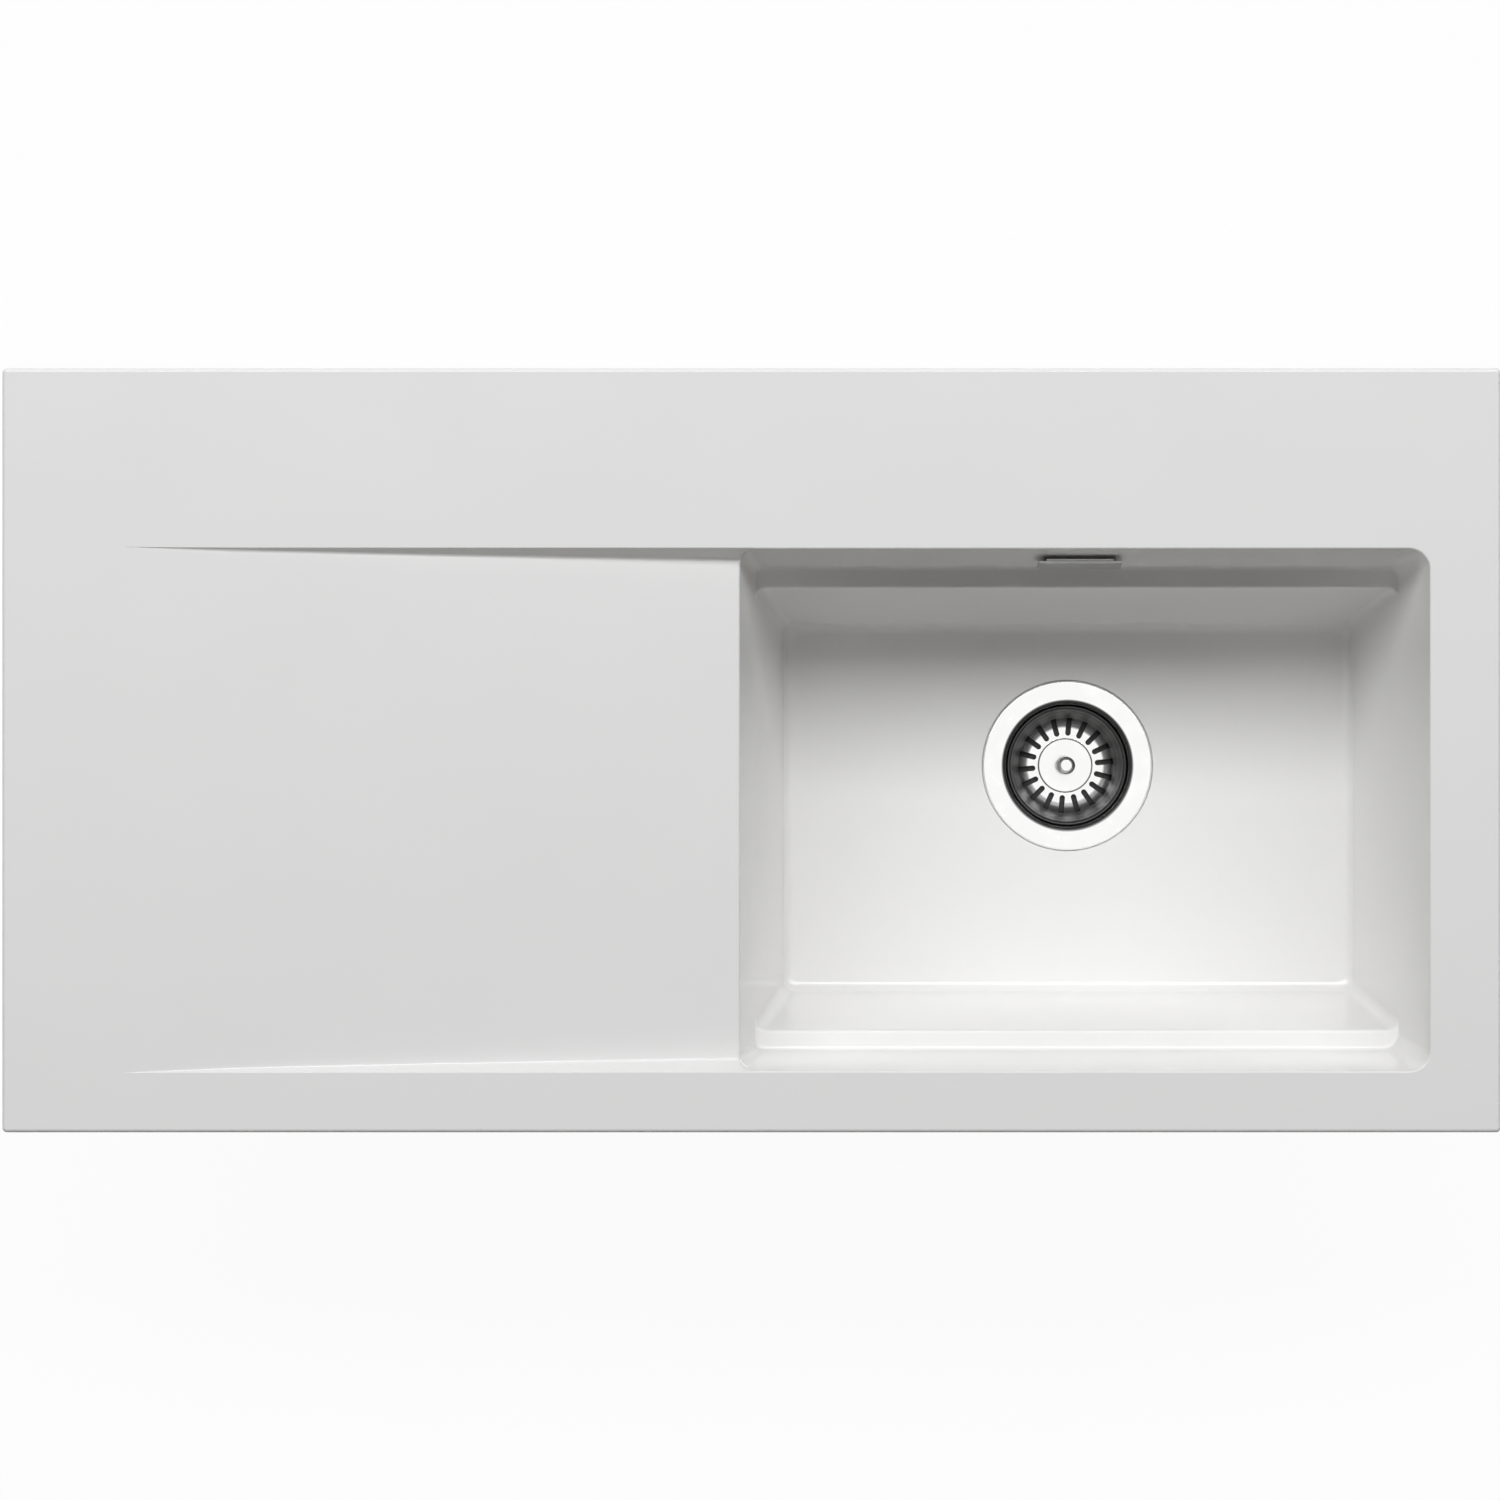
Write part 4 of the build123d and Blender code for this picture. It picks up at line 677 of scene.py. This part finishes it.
class SinkStageSettings(bpy.types.PropertyGroup):
    """The camera, the lamps and the light from all round."""

    camera_height: bpy.props.FloatProperty(
        name="Camera height", description="Height of the camera above the worktop's plane", unit="LENGTH",
        default=4.012, min=0.5,
    )
    camera_angle: bpy.props.FloatProperty(
        name="Camera angle", description="Angle that the camera takes in", subtype="ANGLE",
        default=math.radians(14.26), min=0.01,
    )
    key_elevation: bpy.props.FloatProperty(
        name="Key light elevation", description="Height of the key light above the horizon", subtype="ANGLE",
        default=math.radians(58.5), min=0.1, max=1.57,
    )
    key_bearing: bpy.props.FloatProperty(
        name="Key light bearing", description="Where the key light stands, turned from +X", subtype="ANGLE",
        default=math.radians(92.0),
    )
    key_distance: bpy.props.FloatProperty(
        name="Key light distance", description="Distance from the sink to the key light", unit="LENGTH",
        default=4.5, min=0.5,
    )
    key_width: bpy.props.FloatProperty(
        name="Key light width", description="Width of the key light, along the sink", unit="LENGTH",
        default=9.0, min=0.1,
    )
    key_height: bpy.props.FloatProperty(
        name="Key light height", description="Height of the key light, across the sink", unit="LENGTH",
        default=1.7, min=0.1,
    )
    key_power: bpy.props.FloatProperty(
        name="Key light power", description="Power of the key light", default=288.0, min=0.0,
    )
    key_colour: bpy.props.FloatVectorProperty(
        name="Key light colour", description="Colour of the key light", subtype="COLOR",
        default=(0.972, 0.981, 1.0), min=0.0, max=1.0,
    )
    fill_elevation: bpy.props.FloatProperty(
        name="Fill light elevation", description="Height of the fill light above the horizon",
        subtype="ANGLE", default=math.radians(13.0), min=0.1, max=1.57,
    )
    fill_bearing: bpy.props.FloatProperty(
        name="Fill light bearing", description="Where the fill light stands, turned from +X", subtype="ANGLE",
        default=math.radians(-90.0),
    )
    fill_distance: bpy.props.FloatProperty(
        name="Fill light distance", description="Distance from the sink to the fill light", unit="LENGTH",
        default=4.5, min=0.5,
    )
    fill_width: bpy.props.FloatProperty(
        name="Fill light width", description="Width of the fill light, along the sink", unit="LENGTH",
        default=5.0, min=0.1,
    )
    fill_height: bpy.props.FloatProperty(
        name="Fill light height", description="Height of the fill light, across the sink", unit="LENGTH",
        default=1.2, min=0.1,
    )
    fill_power: bpy.props.FloatProperty(
        name="Fill light power", description="Power of the fill light", default=11.0, min=0.0,
    )
    fill_colour: bpy.props.FloatVectorProperty(
        name="Fill light colour", description="Colour of the fill light", subtype="COLOR",
        default=(1.0, 0.96, 0.89), min=0.0, max=1.0,
    )
    ambient: bpy.props.FloatProperty(
        name="Ambient", description="Strength of the light from all round", default=0.025, min=0.0,
    )


class SinkOperator:
    """What the sink's operators share."""

    bl_options = {"REGISTER", "UNDO"}


class SINK_OT_ceramic(SinkOperator, bpy.types.Operator):
    """Glaze the ceramic where it shows from above and leave it bare underneath"""

    bl_idname = "sink.ceramic"
    bl_label = "Ceramic body"

    def execute(self, context):
        settings = context.scene.sink_finish
        finish("sink_body", glaze_material(settings), bisque_material(settings))
        mesh = NODES["sink_body"].data
        mesh.polygons.foreach_set("material_index", [int(is_under(face)) for face in mesh.polygons])
        return {"FINISHED"}


class SINK_OT_strainer(SinkOperator, bpy.types.Operator):
    """Finish the strainer's cup, basket and knob in turned steel"""

    bl_idname = "sink.strainer"
    bl_label = "Basket strainer"

    def execute(self, context):
        settings = context.scene.sink_finish
        colour = settings.steel_colour
        # The strainer's colours carry painted reflection and shade by distance from the drain's axis.
        finish("strainer_cup", turned_steel_material("cup_steel", colour, 0.16, CUP_PAINTED_REFLECTION))
        finish("strainer_basket", turned_steel_material("basket_steel", colour, 0.16, BASKET_PAINTED_REFLECTION))
        finish("basket_knob", turned_steel_material("knob_chrome", colour, 0.08, KNOB_PAINTED_REFLECTION, brushing=0.4))
        return {"FINISHED"}


class SINK_OT_waste(SinkOperator, bpy.types.Operator):
    """Finish the moulded waste body, its gaskets and the plug"""

    bl_idname = "sink.waste"
    bl_label = "Waste kit"

    def execute(self, context):
        settings = context.scene.sink_finish
        plastic = moulded_material("waste_plastic", settings.plastic_colour, roughness=0.4)
        rubber = moulded_material("seal_rubber", settings.rubber_colour, roughness=0.6)
        for node in ("waste_body", "overflow_housing", "upper_hose_nut", "lower_hose_nut"):
            finish(node, plastic)
        for node in ("rim_seal", "flange_gasket", "waste_gasket", "plug_seal", "overflow_gasket",
                     "upper_hose_seal", "lower_hose_seal"):
            finish(node, rubber)
        finish("plug_carrier", moulded_material("carrier_plastic", settings.dark_colour, roughness=0.4))
        finish("overflow_insert", moulded_material("insert_plastic", settings.insert_colour, roughness=0.4))
        return {"FINISHED"}


class SINK_OT_hose(SinkOperator, bpy.types.Operator):
    """Make the ribbed overflow hose, from the overflow's housing to the waste body"""

    bl_idname = "sink.hose"
    bl_label = "Overflow hose"

    def execute(self, context):
        hose = make_hose(context.scene.sink_hose)
        colour = context.scene.sink_finish.hose_colour
        hose.data.materials.append(moulded_material("hose_plastic", colour, roughness=0.45))
        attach(hose, "sink")
        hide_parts("overflow_hose")
        return {"FINISHED"}


class SINK_OT_metalwork(SinkOperator, bpy.types.Operator):
    """Finish the overflow cover, the screws, the stem and the brass insert"""

    bl_idname = "sink.metalwork"
    bl_label = "Small metalwork"

    def execute(self, context):
        settings = context.scene.sink_finish
        screw = steel_material("screw_steel", settings.screw_colour, roughness=0.25)
        for node in ("clamp_screw", "clamp_washer", "knob_stem", "overflow_screw"):
            finish(node, screw)
        finish("waste_insert", steel_material("brass", settings.brass_colour, roughness=0.3))
        finish("overflow_cover", cover_material(settings))
        return {"FINISHED"}


class SINK_OT_stage(SinkOperator, bpy.types.Operator):
    """Set the pale floor, the soft light and the camera straight above the sink"""

    bl_idname = "sink.stage"
    bl_label = "Studio"

    def execute(self, context):
        settings = context.scene.sink_stage
        self.make_floor()
        self.make_world(settings)
        self.make_lamp("key", settings)
        self.make_lamp("fill", settings)
        self.make_camera(settings)
        context.scene.view_settings.view_transform = "Standard"
        return {"FINISHED"}

    @staticmethod
    def make_floor():
        """A wide white floor just under the sink's lowest point, which shows the sink's shadow faintly."""
        mesh = bpy.data.meshes.new("studio_floor")
        half = FLOOR_HALF
        plan = ((-half, -half), (half, -half), (half, half), (-half, half))
        mesh.from_pydata([(x, y, LOWEST - FLOOR_GAP) for x, y in plan], [], [(0, 1, 2, 3)])
        floor = bpy.data.objects.new("studio_floor", mesh)
        bpy.context.scene.collection.objects.link(floor)
        material, g = new_graph("studio_floor")
        seen = g.node("ShaderNodeLightPath", output="Is Camera Ray")
        plain = g.node("ShaderNodeBsdfDiffuse", None, {"Color": FLOOR_COLOUR})
        bright = g.node("ShaderNodeEmission", None, {"Color": WHITE, "Strength": 1.0})
        mixed = g.node("ShaderNodeMixShader", None, {0: seen * FLOOR_WHITENESS, 1: plain, 2: bright})
        g.node("ShaderNodeOutputMaterial", None, {"Surface": mixed})
        mesh.materials.append(material)

    @staticmethod
    def make_world(settings):
        """Even light from all round, with white behind the sink and in what its metal mirrors."""
        world = bpy.data.worlds.new("studio")
        world.use_nodes = True
        g = Graph(world.node_tree)
        seen = g.node("ShaderNodeLightPath", output="Is Camera Ray")
        mirrored = g.node("ShaderNodeLightPath", output="Is Glossy Ray")
        white = seen.maths("MAXIMUM", seen, mirrored)
        level = g.node("ShaderNodeMix", {"data_type": "FLOAT"}, {0: white, 2: settings.ambient, 3: 1.0})
        light = g.node("ShaderNodeBackground", None, {"Color": WHITE, "Strength": level})
        g.node("ShaderNodeOutputWorld", None, {"Surface": light})
        bpy.context.scene.world = world

    @staticmethod
    def make_lamp(kind, settings):
        """A wide soft light that faces the sink: the key or the fill."""
        def setting(part):
            return getattr(settings, f"{kind}_{part}")

        data = bpy.data.lights.new(f"{kind}_light", "AREA")
        data.shape = "RECTANGLE"
        data.size = setting("width")
        data.size_y = setting("height")
        data.energy = setting("power")
        data.color = setting("colour")
        light = bpy.data.objects.new(f"{kind}_light", data)
        level = math.cos(setting("elevation"))
        bearing = setting("bearing")
        away = Vector((level * math.cos(bearing), level * math.sin(bearing), math.sin(setting("elevation"))))
        light.location = away * setting("distance")
        light.rotation_euler = away.to_track_quat("Z", "Y").to_euler()
        bpy.context.scene.collection.objects.link(light)

    @staticmethod
    def make_camera(settings):
        """A camera that looks straight down."""
        data = bpy.data.cameras.new("camera")
        data.angle = settings.camera_angle
        camera = bpy.data.objects.new("camera", data)
        camera.location = (*CAMERA_PLAN, settings.camera_height)
        bpy.context.scene.collection.objects.link(camera)
        bpy.context.scene.camera = camera


PIECES = (SINK_OT_ceramic, SINK_OT_strainer, SINK_OT_waste, SINK_OT_hose, SINK_OT_metalwork, SINK_OT_stage)


class SINK_PT_panel(bpy.types.Panel):
    """The sink's pieces and settings"""

    bl_idname = "SINK_PT_panel"
    bl_label = "Kitchen sink"
    bl_space_type = "VIEW_3D"
    bl_region_type = "UI"
    bl_category = "Sink"

    def draw(self, context):
        for piece in PIECES:
            self.layout.operator(piece.bl_idname)
        scene = context.scene
        for settings in (scene.sink_finish, scene.sink_hose, scene.sink_stage):
            for name in settings.__annotations__:
                self.layout.prop(settings, name)


CLASSES = (SinkFinishSettings, SinkHoseSettings, SinkStageSettings, *PIECES, SINK_PT_panel)


def register():
    for item in CLASSES:
        bpy.utils.register_class(item)
    bpy.types.Scene.sink_finish = bpy.props.PointerProperty(type=SinkFinishSettings)
    bpy.types.Scene.sink_hose = bpy.props.PointerProperty(type=SinkHoseSettings)
    bpy.types.Scene.sink_stage = bpy.props.PointerProperty(type=SinkStageSettings)


def unregister():
    del bpy.types.Scene.sink_stage
    del bpy.types.Scene.sink_hose
    del bpy.types.Scene.sink_finish
    for item in reversed(CLASSES):
        bpy.utils.unregister_class(item)


def main():
    """Dresses the sink."""
    register()
    bpy.ops.sink.ceramic()
    bpy.ops.sink.strainer()
    bpy.ops.sink.waste()
    bpy.ops.sink.hose()
    bpy.ops.sink.metalwork()
    bpy.ops.sink.stage()


if __name__ == "__main__":
    main()
